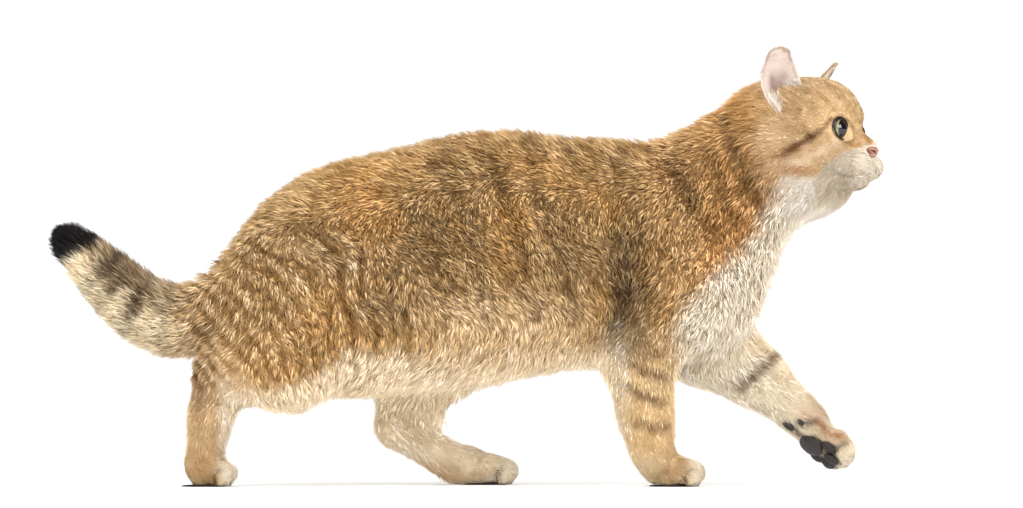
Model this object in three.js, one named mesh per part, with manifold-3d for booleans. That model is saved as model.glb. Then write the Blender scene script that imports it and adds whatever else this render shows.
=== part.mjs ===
// A golden British Shorthair cat, life size, walking: three feet on the floor, the left forepaw lifted
// forwards. Millimetres, +Z up, the cat faces +X and its right side is at -Y. The surface is that of
// the closed coat. The whole body is one blended field of trunk, limbs, tail and head. Each part is a
// shell of rays that run from its own middle line out to that field. Thin cuts divide the parts, so
// they meet face to face.
import * as THREE from "three";
import { ConvexGeometry } from "three/addons/geometries/ConvexGeometry.js";
import { ParametricGeometry } from "three/addons/geometries/ParametricGeometry.js";
import { mergeVertices } from "three/addons/utils/BufferGeometryUtils.js";
import Module from "manifold-3d";

const wasm = await Module();
wasm.setup();

// ---------------------------------------------------------------- driving sizes, mm
const GAP = 0.3; // between parts that touch

// The trunk and neck: stations along the spine. at is the middle line (x, z) and bend its sideways place.
// up, down and half are the reach to the back, to the belly and to either side.
const SPINE = [
  { at: [-220, 172], bend: 0, up: 16, down: 40, half: 33 },
  { at: [-202, 177], bend: 0, up: 33, down: 56, half: 48 },
  { at: [-176, 180], bend: 0, up: 67, down: 88, half: 61 },
  { at: [-142, 182], bend: 0, up: 92, down: 105, half: 70 },
  { at: [-96, 184], bend: 0, up: 106, down: 110, half: 77 },
  { at: [-46, 187], bend: 0, up: 113, down: 109, half: 81 },
  { at: [2, 191], bend: 0, up: 121, down: 108, half: 81 },
  { at: [50, 196], bend: 0, up: 119, down: 103, half: 76 },
  { at: [98, 199], bend: 0, up: 110, down: 99, half: 68 },
  { at: [140, 204], bend: 0, up: 106, down: 104, half: 61 },
  { at: [176, 213], bend: 0, up: 99, down: 112, half: 58 },
  { at: [206, 226], bend: -1, up: 90, down: 102, half: 56 },
  { at: [232, 241], bend: -3, up: 86, down: 75, half: 54 },
  { at: [258, 259], bend: -7, up: 83, down: 50, half: 52 },
  { at: [282, 279], bend: -11, up: 78, down: 44, half: 46 },
];

// The head: its own frame has +x along the muzzle, +y to the left, and its origin in the middle of the
// skull.
const { clamp, lerp, degToRad } = THREE.MathUtils;
const HEAD = { at: [296.7, -13, 309], turn: degToRad(-29), roll: degToRad(-1.7) };
// Rounded volumes: a middle, three half sizes and how softly each blends in. Those off the middle count
// twice.
const SKULL = { at: [-3, 0, 4], half: [51, 49, 45] };
const VOLUMES = {
  forehead: { at: [20, 0, 18], half: [30, 36, 27], soft: 12 },
  nape: { at: [-26, 0, -10], half: [40, 47, 46], soft: 20 },
  cheek: { at: [8, 29, -20], half: [34, 28, 29], soft: 16 },
  jowl: { at: [3, 16, -45], half: [36, 31, 28], soft: 18 },
  earRoot: { at: [-19, 25, 27], half: [14, 13, 12], soft: 14 },
  muzzle: { at: [38, 0, -27], half: [24, 25, 19], soft: 10 },
  brow: { at: [33, 19, 13], half: [13, 15, 8], soft: 13 },
  cheekbone: { at: [37, 26, -14], half: [13, 13, 9], soft: 9 },
};
const BRIDGE = { from: [36, 0, 9], to: [61, 0, -14], thick: [14, 8.5], soft: 8 };
const PAD = { at: [55, 11, -31.5], half: [16.5, 13, 12.5], soft: 4 }; // whisker pad
const CHIN = { at: [49, 0, -43.5], half: [14, 13.5, 9.5], soft: 5 };
// An eye looks outwards by out, and its opening slants up to its outer corner by slant.
const EYE = { at: [37, 19.2, 0], radius: 11.4, out: degToRad(20), slant: degToRad(24) };
const SOCKET = { radius: 10, soft: 8, ahead: 8 }; // the hollow in front of the eye
const LID = { radius: 12.9, soft: 8, openLong: 10.6, openTall: 9.2, taper: 0.88 }; // half the opening
const NOSE = { at: [65.4, 0, -18.6], half: [5.6, 7.8, 5.8] };
const NOSTRIL = { at: [70, 4, -19], half: [3, 1.5, 1.7] };
const MOUTH = {
  depth: 1.5,
  line: [[70, 0, -27.5], [67, 2, -32], [63, 8, -38], [57, 15, -41.5], [49, 21, -41], [41, 27, -38.5]],
};

// The left ear: stations from its buried foot to its tip, in the head's frame. Each section is half an
// oval, from the front edge round the back of the cup to the outer edge, with a wall as thick as thick
// says.
const EAR = [
  { front: [14, 20, 22], back: [-6, 26, 17], outer: [0, 46, 8], thick: 4 },
  { front: [11, 29, 41], back: [-9, 33, 36], outer: [-13, 51, 27], thick: 3.4 },
  { front: [9.5, 41, 57], back: [-7, 42, 53], outer: [-16.5, 53.5, 46], thick: 2.8 },
  { front: [9, 51, 65], back: [-0.5, 51, 64.5], outer: [-6.5, 56.5, 61.5], thick: 2 },
  { front: [6, 57.5, 70.5], back: [4.5, 56.5, 71], outer: [3.5, 58, 70], thick: 1.2 },
];
const EAR_PIVOT = [4, 42]; // each ear turns forwards about an upright line through this place
const EAR_TURN = { right_ear: 0, left_ear: degToRad(30) };
const CONCHA = { at: [3, 46, 28], half: [13, 12, 19], soft: 3 }; // the hollow at the foot of the ear

// Each limb: lengths of flesh from joint to joint with the thickness at each end, and then the paw.
// flat squeezes a length sideways and soft is how far it blends with the body. A paw has reach to its
// toe ends, instep as the step back to its wrist, toe as half a toe and height as the middle of the
// toes over the sole. core is its middle line, in the paw's own frame. cut is where the limb leaves the
// body, wide is that cut's width, and ankle is where the paw begins. hock, where the limb bends sharply,
// counts the lengths above the bend. tongue is the outline that parts the shoulder or thigh from the
// torso: a circle above, one below, and its depth.
const TOE_SPREAD = [-12.4, -4.4, 4.4, 12.4];
const TOE_REACH = [-3.2, 0, 0, -3.6];
const TOE_SOFT = 2;
const KNUCKLE = 15; // from the knuckles to the toe ends
const LEVEL = { forward: [1, 0, 0], up: [0, 0, 1] }; // a paw flat on the floor
const LIFTED = { forward: [0.78, 0, -0.62], up: [0.55, 0.48, 0.69] }; // toes down, sole turned inwards
const LEGS = {
  right_fore: {
    side: -1,
    lengths: [
      { from: [168, -38, 232], to: [190, -38, 178], thick: [40, 42], flat: 0.62, soft: 30 },
      { from: [190, -38, 178], to: [152, -40, 112], thick: [42, 31], flat: 0.72, soft: 24 },
      { from: [152, -40, 112], to: [158, -40, 62], thick: [31, 24], flat: 0.9, soft: 16 },
      { from: [158, -40, 62], to: [163, -40, 32], thick: [24, 21.5], flat: 0.88, soft: 8 },
    ],
    paw: { at: [172, -40, 0], ...LEVEL, reach: 29.5, instep: 8, toe: 8.6, height: 8.8 },
    core: [[-6, 0, 14], [21, 0, 10]],
    cut: { at: [150, -40, 92], along: [0.2, 0, -1], wide: 96 },
    ankle: { at: [162, -40, 37], along: [0.42, 0, -1] },
    tongue: { top: [168, 178], bottom: [150, 92], radius: [64, 42], deep: 12 },
  },
  left_fore: {
    side: 1,
    lengths: [
      { from: [172, 38, 232], to: [208, 38, 180], thick: [40, 42], flat: 0.62, soft: 30 },
      { from: [208, 38, 180], to: [212, 40, 128], thick: [42, 37], flat: 0.72, soft: 26 },
      { from: [212, 40, 128], to: [258, 40, 97], thick: [37, 28], flat: 0.85, soft: 22 },
      { from: [258, 40, 97], to: [306, 40, 57], thick: [28, 18.5], flat: 0.95, soft: 12 },
    ],
    paw: { at: [303, 40, 54], ...LIFTED, reach: 46, instep: 0, toe: 8.3, height: -5 },
    core: [[-8, 0, 2], [34, 0, -3.5]],
    cut: { at: [242, 40, 107], along: [0.8, 0, -0.6], wide: 74 },
    ankle: { at: [301, 40, 60], along: [0.78, 0, -0.62] },
    tongue: { top: [200, 176], bottom: [226, 112], radius: [58, 46], deep: 12 },
  },
  right_hind: {
    side: -1,
    lengths: [
      { from: [-150, -36, 180], to: [-158, -44, 112], thick: [56, 45], flat: 0.76, soft: 30 },
      { from: [-158, -44, 112], to: [-209, -44, 98], thick: [45, 26], flat: 0.72, soft: 24 },
      { from: [-209, -44, 98], to: [-219.5, -42, 60], thick: [24, 19.3], flat: 0.85, soft: 12 },
      { from: [-219.5, -42, 60], to: [-225, -42, 22], thick: [19.3, 17.6], flat: 0.9, soft: 8 },
    ],
    paw: { at: [-231, -42, 0], ...LEVEL, reach: 26.5, instep: 16.5, toe: 8.6, height: 8.8 },
    core: [[2, 0, 14], [18, 0, 10]],
    cut: { at: [-215, -44, 90], along: [-0.8, 0, -0.6], wide: 100 },
    ankle: { at: [-226, -42, 34], along: [0, 0, -1] },
    tongue: { top: [-158, 146], bottom: [-204, 100], radius: [66, 42], deep: 12 },
  },
  left_hind: {
    side: 1,
    lengths: [
      { from: [-146, 36, 182], to: [-28, 44, 122], thick: [56, 45], flat: 0.76, soft: 30 },
      { from: [-28, 44, 122], to: [-45, 43, 78], thick: [43, 31], flat: 0.76, soft: 24 },
      { from: [-45, 43, 78], to: [-60, 42, 53], thick: [29, 20.5], flat: 0.82, soft: 12 },
      { from: [-60, 42, 53], to: [-6, 42, 15], thick: [20.5, 18], flat: 0.9, soft: 8 },
    ],
    paw: { at: [7, 42, 0], ...LEVEL, reach: 32, instep: 6, toe: 9, height: 9.2 },
    hock: 3,
    core: [[-62, 0, 47], [20, 0, 11]],
    cut: { at: [-46, 43, 71], along: [0, 0, -1], wide: 136 },
    ankle: { at: [-57, 42, 51], along: [0.41, 0, -0.91] },
    tongue: { top: [-84, 146], bottom: [-44, 84], radius: [66, 46], deep: 12 },
  },
};

// The tail: middle line and thickness from its root to its tip.
const TAIL = [
  { at: [-196, 0, 162], thick: 34 },
  { at: [-222, 0, 149], thick: 34 },
  { at: [-243, 0, 144], thick: 34 },
  { at: [-262, 0, 146], thick: 33 },
  { at: [-281, 0, 154], thick: 31.5 },
  { at: [-300, 0, 168], thick: 30 },
  { at: [-318, 0, 186], thick: 26.5 },
  { at: [-333, 0, 201], thick: 22.5 },
  { at: [-347.5, 0, 213.5], thick: 19.5 },
];
const TAIL_SOFT = 16; // how softly the tail, the lengths of a limb, a paw and the head blend in
const TAIL_LENGTH_SOFT = 6;
const LIMB_SOFT = 12;
const PAW_SOFT = 7;
const SKIN_SOFT = 5;
const HEAD_SOFT = 24;
const BACK_NARROWS = 0.07; // the trunk is narrower above and fuller below, by this share

// ---------------------------------------------------------------- small helpers
const add = (a, b, t = 1) => [a[0] + b[0] * t, a[1] + b[1] * t, a[2] + b[2] * t];
const sub = (a, b) => add(a, b, -1);
const dot = (a, b) => a[0] * b[0] + a[1] * b[1] + a[2] * b[2];
const cross = (a, b) => [a[1] * b[2] - a[2] * b[1], a[2] * b[0] - a[0] * b[2], a[0] * b[1] - a[1] * b[0]];
const unit = (a) => add([0, 0, 0], a, 1 / Math.hypot(...a));
const mirrored = (a, side) => [a[0], a[1] * side, a[2]];

// A smooth value at s, counted in entries of the list, of the number that pick reads from each entry.
function smooth(list, s, pick) {
  const i = clamp(Math.floor(s), 0, list.length - 2);
  const t = s - i;
  const value = (j) => pick(list[clamp(j, 0, list.length - 1)]);
  const [a, b, c, d] = [value(i - 1), value(i), value(i + 1), value(i + 2)];
  return b + 0.5 * t * (c - a + t * (2 * a - 5 * b + 4 * c - d + t * (3 * (b - c) + d - a)));
}

// ---------------------------------------------------------------- the field: under 0 inside the cat
const blend = (a, b, soft) => {
  const near = Math.max(soft - Math.abs(a - b), 0) / soft;
  return Math.min(a, b) - (near * near * soft) / 4;
};
const carve = (a, b, soft) => -blend(-a, b, soft);

function rounded(p, { at, half }) {
  const q = sub(p, at);
  const scaled = Math.hypot(q[0] / half[0], q[1] / half[1], q[2] / half[2]);
  const slope = Math.hypot(q[0] / half[0] ** 2, q[1] / half[1] ** 2, q[2] / half[2] ** 2);
  return slope < 1e-9 ? -Math.min(...half) : (scaled * (scaled - 1)) / slope;
}

function length(p, { from, to, thick, flat = 1 }) {
  const run = sub(to, from);
  const t = clamp(dot(sub(p, from), run) / dot(run, run), 0, 1);
  const q = sub(p, add(from, run, t));
  return Math.hypot(q[0], q[1] / flat, q[2]) - lerp(thick[0], thick[1], t);
}

// The spine is walked in short steps, so that the nearest place on it is found quickly.
const STEPS = 4;
const SPINE_LINE = Array.from({ length: (SPINE.length - 1) * STEPS + 1 }, (_, i) => {
  const s = i / STEPS;
  const read = (pick) => smooth(SPINE, s, pick);
  return {
    at: [read((k) => k.at[0]), read((k) => k.bend), read((k) => k.at[1])],
    up: read((k) => k.up),
    down: read((k) => k.down),
    half: read((k) => k.half),
  };
});

// The trunk is an upright egg-shaped section carried along the spine, fuller towards the belly.
function trunk(p) {
  let best = Infinity;
  let place = 0;
  let share = 0;
  for (let i = 0; i < SPINE_LINE.length - 1; i++) {
    const a = SPINE_LINE[i].at;
    const run = sub(SPINE_LINE[i + 1].at, a);
    const along = ((p[0] - a[0]) * run[0] + (p[2] - a[2]) * run[2]) / (run[0] ** 2 + run[2] ** 2);
    const t = clamp(along, 0, 1);
    const d = Math.hypot(p[0] - a[0] - run[0] * t, p[2] - a[2] - run[2] * t);
    if (d < best) [best, place, share] = [d, i, t];
  }
  const [a, b] = [SPINE_LINE[place], SPINE_LINE[place + 1]];
  const run = unit([b.at[0] - a.at[0], 0, b.at[2] - a.at[2]]);
  const q = sub(p, add(a.at, sub(b.at, a.at), share));
  const high = -q[0] * run[2] + q[2] * run[0];
  const past = Math.abs(q[0] * run[0] + q[2] * run[2]);
  const reach = lerp(...(high > 0 ? [a.up, b.up] : [a.down, b.down]), share);
  const half = lerp(a.half, b.half, share) * (1 - BACK_NARROWS * clamp(high / reach, -1, 1));
  const scaled = Math.hypot(q[1] / half, high / reach, past / Math.min(half, reach));
  return (scaled - 1) * Math.min(half, reach);
}

function tail(p) {
  let d = Infinity;
  for (let i = 0; i < TAIL.length - 1; i++) {
    const [a, b] = [TAIL[i], TAIL[i + 1]];
    d = blend(d, length(p, { from: a.at, to: b.at, thick: [a.thick, b.thick] }), TAIL_LENGTH_SOFT);
  }
  return d;
}

// Points of the head's own frame.
const headToRoom = new THREE.Matrix4()
  .makeRotationFromEuler(new THREE.Euler(HEAD.roll, 0, HEAD.turn, "ZYX"))
  .setPosition(...HEAD.at);
const HEAD_AXES = [0, 1, 2].map((i) => new THREE.Vector3().setFromMatrixColumn(headToRoom, i).toArray());
const intoHead = (p) => HEAD_AXES.map((axis) => dot(sub(p, HEAD.at), axis));
const fromHead = (q) => HEAD_AXES.reduce((p, axis, i) => add(p, axis, q[i]), HEAD.at);
const gaze = [Math.cos(EYE.out), Math.sin(EYE.out), 0];

function head(p) {
  const [x, y, z] = intoHead(p);
  const q = [x, Math.abs(y), z];
  let d = rounded(q, SKULL);
  for (const volume of Object.values(VOLUMES)) d = blend(d, rounded(q, volume), volume.soft);
  d = blend(d, length(q, BRIDGE), BRIDGE.soft);
  d = carve(d, Math.hypot(...sub(q, add(EYE.at, gaze, SOCKET.ahead))) - SOCKET.radius, SOCKET.soft);
  d = carve(d, rounded(q, CONCHA), CONCHA.soft);
  d = blend(d, rounded(q, PAD), PAD.soft);
  d = blend(d, rounded(q, CHIN), CHIN.soft);
  return blend(d, Math.hypot(...sub(q, EYE.at)) - LID.radius, LID.soft);
}

// A paw's own frame: x towards the toes, y sideways, z towards its back. A standing paw's origin is on
// the floor.
function pawFrame({ at, forward, up }) {
  const f = unit(forward);
  const u = unit(sub(up, add([0, 0, 0], f, dot(up, f))));
  return { at, f, s: cross(u, f), u };
}
const intoPaw = (p, frame) => {
  const q = sub(p, frame.at);
  return [dot(q, frame.f), dot(q, frame.s), dot(q, frame.u)];
};
const fromPaw = (q, frame) => add(add(add(frame.at, frame.f, q[0]), frame.s, q[1]), frame.u, q[2]);

// A paw is an instep, a pad under it, four toes side by side and a pad under each.
function paw(p, { frame, reach, instep, toe, height }) {
  const q = intoPaw(p, frame);
  const knuckle = reach - KNUCKLE;
  const [wrist, toeRoots] = [[instep - 10, 0, height + 9], [knuckle, 0, height + 3]];
  const back = { from: wrist, to: toeRoots, thick: [17.5, 13], flat: 1.1 };
  const palm = { at: [knuckle - 6, 0, height - 3], half: [12, 13, 7.5], soft: 5 };
  let d = blend(length(q, back), rounded(q, palm), palm.soft);
  TOE_SPREAD.forEach((y, i) => {
    const end = reach + TOE_REACH[i];
    const [from, to] = [[knuckle, y * 0.8, height + 6], [end - 2, y, height + 3.2]];
    const toePad = { at: [end - 3, y, height - toe + 1.5], half: [6, 4.6, 3], soft: 1.5 };
    d = blend(d, length(q, { from, to, thick: [toe + 3.8, toe + 2.2], flat: 0.8 }), TOE_SOFT);
    d = blend(d, rounded(q, toePad), toePad.soft);
  });
  return d;
}

for (const leg of Object.values(LEGS)) leg.paw.frame = pawFrame(leg.paw);

function limb(p, leg) {
  let d = Infinity;
  for (const piece of leg.lengths) d = blend(d, length(p, piece), LIMB_SOFT);
  return blend(d, paw(p, leg.paw), PAW_SOFT);
}

function body(p) {
  let d = trunk(p);
  d = blend(d, tail(p), TAIL_SOFT);
  for (const leg of Object.values(LEGS)) {
    for (const piece of leg.lengths.slice(0, 3)) d = blend(d, length(p, piece), piece.soft);
    d = blend(d, limb(p, leg), SKIN_SOFT);
  }
  return blend(d, head(p), HEAD_SOFT);
}

// ---------------------------------------------------------------- shells of rays
// How far a ray from o reaches before it leaves the field, or most where it doesn't.
const COARSE_STEPS = 36;
const HALVINGS = 13;
function reachOf(field, o, direction, most) {
  const coarse = most / COARSE_STEPS;
  let far = coarse;
  while (far < most && field(add(o, direction, far)) < 0) far += coarse;
  if (far >= most) return most;
  let [low, high] = [far - coarse, far];
  for (let i = 0; i < HALVINGS; i++) {
    const middle = (low + high) / 2;
    if (field(add(o, direction, middle)) < 0) low = middle;
    else high = middle;
  }
  return (low + high) / 2;
}

// A closed shell round a path of points: rays stand square to the path along it and fan out round its
// two ends. rings counts the steps round the first end, along the path and round the last end, and
// around the rays in a ring. across is the axis that stays sideways. crowd over 1 sets the rings round
// the last end closer towards its tip.
function shell(field, path, { rings, around, most, across = [0, 1, 0], crowd = 1 }) {
  const bends = path.length > 2;
  const curve = bends ? new THREE.CatmullRomCurve3(path.map((p) => new THREE.Vector3(...p))) : null;
  const [first, last] = [path[0], path[path.length - 1]];
  const total = rings[0] + rings[1] + rings[2];
  const placeOf = (t) => (curve ? curve.getPointAt(t).toArray() : add(first, sub(last, first), t));
  const tangentOf = (t) => (curve ? curve.getTangentAt(t).toArray() : unit(sub(last, first)));
  const made = new Map();
  const ringAt = (v) => {
    const step = Math.round(v * total);
    if (!made.has(step)) {
      const t = rings[1] ? clamp((step - rings[0]) / rings[1], 0, 1) : 0;
      let lean = 0;
      if (step < rings[0]) lean = (step / rings[0] - 1) * (Math.PI / 2);
      if (step > rings[0] + rings[1]) {
        const left = (total - step) / rings[2];
        lean = (1 - left ** crowd) * (Math.PI / 2);
      }
      const along = unit(tangentOf(t));
      const side = unit(sub(across, add([0, 0, 0], along, dot(across, along))));
      made.set(step, { at: placeOf(t), along, side, up: cross(along, side), lean });
    }
    return made.get(step);
  };
  const surface = (u, v, target) => {
    const ring = ringAt(v);
    const turn = (Math.round(u * around) % around) * ((2 * Math.PI) / around);
    const flat = Math.cos(ring.lean);
    const pole = Math.abs(flat) < 1e-6;
    let direction = add([0, 0, 0], ring.along, Math.sin(ring.lean));
    if (!pole) {
      direction = add(direction, ring.up, flat * Math.cos(turn));
      direction = add(direction, ring.side, flat * Math.sin(turn));
    }
    target.set(...add(ring.at, direction, reachOf(field, ring.at, direction, most)));
  };
  return new ParametricGeometry(surface, around, total);
}

// ---------------------------------------------------------------- solids
// A closed geometry as a manifold-3d solid, with its faces turned outwards.
function solid(geometry) {
  const bare = new THREE.BufferGeometry().setAttribute("position", geometry.getAttribute("position"));
  if (geometry.index) bare.setIndex(geometry.index);
  const merged = mergeVertices(bare, 1e-3);
  const kept = [];
  for (let i = 0; i < merged.index.count; i += 3) {
    const [a, b, c] = [0, 1, 2].map((k) => merged.index.getX(i + k));
    if (a !== b && b !== c && c !== a) kept.push([a, b, c]);
  }
  const build = (triangles) =>
    new wasm.Manifold(
      new wasm.Mesh({
        numProp: 3,
        vertProperties: new Float32Array(merged.attributes.position.array),
        triVerts: new Uint32Array(triangles.flat()),
      }),
    );
  const made = build(kept);
  return made.volume() > 0 ? made : build(kept.map(([a, b, c]) => [a, c, b]));
}

// Only the largest closed surface of a solid.
const largest = (made) => made.decompose().sort((a, b) => b.volume() - a.volume())[0];

// Everything ahead of a plane: a block whose back face stands at the point, square to the direction.
function ahead(at, along, { wide = 700, deep = 700, shift = 0 } = {}) {
  const block = new THREE.BoxGeometry(wide, wide, deep).translate(0, 0, deep / 2 + shift);
  const square = new THREE.Vector3(...unit(along));
  const turn = new THREE.Quaternion().setFromUnitVectors(new THREE.Vector3(0, 0, 1), square);
  return solid(block.applyQuaternion(turn).translate(...at));
}

// A tongue across the body, from its inner face outwards to one side: it parts a thigh or a shoulder
// from the torso. Its outline is a large circle above and a small one below, with straight sides
// between.
const TONGUE_OUT = 140; // well past the coat
const TONGUE_SIDES = 24;
function tongue({ top, bottom, radius, deep }, side, grow) {
  const points = [];
  for (const across of [deep - grow, TONGUE_OUT])
    [top, bottom].forEach(([x, z], end) => {
      for (let i = 0; i < TONGUE_SIDES; i++) {
        const angle = (i / TONGUE_SIDES) * 2 * Math.PI;
        const r = radius[end] + grow;
        points.push(new THREE.Vector3(x + r * Math.cos(angle), side * across, z + r * Math.sin(angle)));
      }
    });
  return solid(new ConvexGeometry(points));
}

const ball = ([x, y, z], [a, b, c], across = 16, tall = 10) =>
  new THREE.SphereGeometry(1, across, tall).scale(a, b, c).translate(x, y, z);

const COLOURS = {
  coat: { color: 0xb5884f, roughness: 0.95, metalness: 0 },
  tip: { color: 0x2b2422, roughness: 0.95, metalness: 0 },
  ear: { color: 0xd9b7a6, roughness: 0.8, metalness: 0 },
  eye: { color: 0x6f7a4a, roughness: 0.1, metalness: 0 },
  nose: { color: 0xb5766a, roughness: 0.6, metalness: 0 },
};
const cat = new THREE.Group();

function node(name, made, finish = "coat") {
  const mesh = largest(made).getMesh();
  const geometry = new THREE.BufferGeometry();
  const places = [];
  for (let i = 0; i < mesh.numVert; i++) {
    const start = i * mesh.numProp;
    places.push(...mesh.vertProperties.slice(start, start + 3));
  }
  geometry.setAttribute("position", new THREE.Float32BufferAttribute(places, 3));
  geometry.setIndex(new THREE.BufferAttribute(mesh.triVerts, 1));
  geometry.computeVertexNormals();
  const placed = new THREE.Mesh(geometry, new THREE.MeshStandardMaterial(COLOURS[finish]));
  placed.name = name;
  cat.add(placed);
}

// ---------------------------------------------------------------- planes between the main parts
const NECK_CUT = { at: [216, 0, 232], along: [0.84, 0, 0.54] };
const HEAD_CUT = { at: [272, -9, 286], along: [0.84, -0.24, 0.4] };
const TAIL_CUTS = [
  { at: [-236, 0, 152], along: [-0.97, 0, -0.24] },
  { at: [-281, 0, 155], along: [-0.85, 0, 0.52] },
  { at: [-322, 0, 189], along: [-0.72, 0, 0.69] },
];

// ---------------------------------------------------------------- torso, shoulders and thighs
const TORSO_AXIS = [[-212, 0, 172], [222, 0, 222]];
const NECK_AXIS = [[196, 0, 226], [276, -9, 276]];

// The torso's own field leaves out what hangs far from it: each limb and the tail is kept for a short
// stump only.
const STUMP = 34;
const bareTrunk = (p) => {
  let d = trunk(p);
  for (const leg of Object.values(LEGS))
    for (const piece of leg.lengths.slice(0, 2)) d = blend(d, length(p, piece), piece.soft);
  return d;
};
const torsoField = (p) => Math.max(body(p), bareTrunk(p) - STUMP);
let torso = solid(shell(torsoField, TORSO_AXIS, { rings: [5, 30, 8], around: 32, most: 175 }));
torso = torso.subtract(ahead(NECK_CUT.at, NECK_CUT.along));
torso = torso.subtract(ahead(TAIL_CUTS[0].at, TAIL_CUTS[0].along, { wide: 150, deep: 200 }));
for (const { cut } of Object.values(LEGS)) {
  torso = torso.subtract(ahead(cut.at, cut.along, { wide: cut.wide, deep: 80 }));
}
torso = largest(torso);
const UPPER = {
  right_fore: "right_upper_arm",
  left_fore: "left_upper_arm",
  right_hind: "right_thigh",
  left_hind: "left_thigh",
};
for (const [name, leg] of Object.entries(LEGS)) {
  node(UPPER[name], torso.intersect(tongue(leg.tongue, leg.side, 0)));
  torso = torso.subtract(tongue(leg.tongue, leg.side, GAP));
}
node("torso", torso);

// ---------------------------------------------------------------- neck
let neck = solid(shell(body, NECK_AXIS, { rings: [4, 7, 3], around: 26, most: 130 }));
neck = neck.intersect(ahead(NECK_CUT.at, NECK_CUT.along, { shift: GAP }));
neck = neck.subtract(ahead(HEAD_CUT.at, HEAD_CUT.along));
node("neck", neck);

// ---------------------------------------------------------------- tail
const tailPath = TAIL.slice(1).map((k) => k.at);
const TAIL_BLEND = 8; // how far the tail's shell may reach past its plain round form
const LIMB_BLEND = 14; // and a limb's, or the head's
const tailField = (p) => Math.max(body(p), tail(p) - TAIL_BLEND);
const wholeTail = solid(shell(tailField, tailPath, { rings: [2, 14, 4], around: 16, most: 60 }));
const TAIL_NODES = ["tail_base", "tail_middle", "tail_tip"];
TAIL_NODES.forEach((name, i) => {
  let made = wholeTail.intersect(ahead(TAIL_CUTS[i].at, TAIL_CUTS[i].along, { shift: GAP }));
  if (TAIL_CUTS[i + 1]) made = made.subtract(ahead(TAIL_CUTS[i + 1].at, TAIL_CUTS[i + 1].along));
  node(name, made, i === 2 ? "tip" : "coat");
});

// ---------------------------------------------------------------- lower legs and paws
const LOWER = {
  right_fore: ["right_forearm", "right_fore_paw"],
  left_fore: ["left_forearm", "left_fore_paw"],
  right_hind: ["right_shank", "right_hind_paw"],
  left_hind: ["left_shank", "left_hind_paw"],
};
const floor = solid(new THREE.BoxGeometry(1200, 400, 100).translate(0, 0, -50));
for (const [name, leg] of Object.entries(LEGS)) {
  const joints = leg.lengths.slice(1, leg.hock).map((piece) => piece.to);
  const field = (p) => Math.max(body(p), limb(p, leg) - LIMB_BLEND, TAIL_BLEND + 1 - tail(p));
  const upper = solid(shell(field, joints, { rings: [3, 11, 4], around: 16, most: 60 }));
  const { frame } = leg.paw;
  const core = leg.core.map((q) => fromPaw(q, frame));
  const lower = solid(shell(field, core, { rings: [3, 6, 6], around: 20, most: 60, across: frame.s }));
  const [upperName, pawName] = LOWER[name];
  const { cut, ankle } = leg;
  const shin = upper.intersect(ahead(cut.at, cut.along, { shift: GAP }));
  node(upperName, shin.subtract(ahead(ankle.at, ankle.along)).subtract(floor));
  const foot = lower.intersect(ahead(ankle.at, ankle.along, { shift: GAP }));
  node(pawName, foot.intersect(ahead(cut.at, cut.along, { shift: GAP })).subtract(floor));
}

// ---------------------------------------------------------------- head
const aroundHead = { rings: [10, 0, 23], around: 44, most: 110, across: HEAD_AXES[1], crowd: 1.25 };
const headPath = [fromHead([0, 0, -8]), fromHead([1, 0, -8.3])];
const headField = (p) => Math.max(body(p), head(p) - LIMB_BLEND);
const wholeHead = (grow) => shell((p) => headField(p) - grow, headPath, aroundHead);
let skull = solid(wholeHead(0)).intersect(ahead(HEAD_CUT.at, HEAD_CUT.along, { shift: GAP }));

// Eyes are whole balls in sockets; the lids close over them but for a slanting oval opening.
for (const [name, side] of [["right_eye", -1], ["left_eye", 1]]) {
  const at = fromHead(mirrored(EYE.at, side));
  const eyeball = (grow) => solid(ball(at, Array(3).fill(EYE.radius + grow)));
  skull = skull.subtract(eyeball(GAP));
  const toward = sub(fromHead(mirrored(add(EYE.at, gaze), side)), at);
  const outward = unit(cross([0, 0, 1], toward));
  const basis = new THREE.Matrix4().makeBasis(
    new THREE.Vector3(...toward),
    new THREE.Vector3(...outward),
    new THREE.Vector3(0, 0, 1),
  );
  const opening = new THREE.CylinderGeometry(2 - LID.taper, LID.taper, 16, 18).rotateZ(-Math.PI / 2);
  opening.scale(1, LID.openLong, LID.openTall).translate(EYE.radius, 0, 0);
  opening.rotateX(side * EYE.slant).applyMatrix4(basis).translate(...at);
  skull = skull.subtract(solid(opening));
  node(name, eyeball(0), "eye");
}

// The nose leather sits in its own pocket, with a nostril in each side.
const inRoom = (geometry) => solid(geometry.applyMatrix4(headToRoom));
const noseBall = (grow) => inRoom(ball(NOSE.at, NOSE.half.map((h) => h + grow), 14, 9));
let nose = noseBall(0);
skull = skull.subtract(noseBall(GAP));
for (const side of [-1, 1]) {
  nose = nose.subtract(inRoom(ball(mirrored(NOSTRIL.at, side), NOSTRIL.half, 8, 6)));
}
node("nose", nose, "nose");

// The line of the mouth is a round groove laid on the skin, from under the nose to each corner.
for (const side of [-1, 1]) {
  const line = MOUTH.line.map((q) => {
    const from = fromHead([20, 0, -30]);
    const toward = unit(sub(fromHead(mirrored(q, side)), from));
    return new THREE.Vector3(...add(from, toward, reachOf(head, from, toward, 90)));
  });
  const section = new THREE.Shape().absarc(0, 0, MOUTH.depth, 0, 2 * Math.PI);
  const groove = new THREE.ExtrudeGeometry(section, {
    extrudePath: new THREE.CatmullRomCurve3(line),
    steps: 14,
    curveSegments: 3,
    bevelEnabled: false,
  });
  skull = skull.subtract(solid(groove));
}

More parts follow.
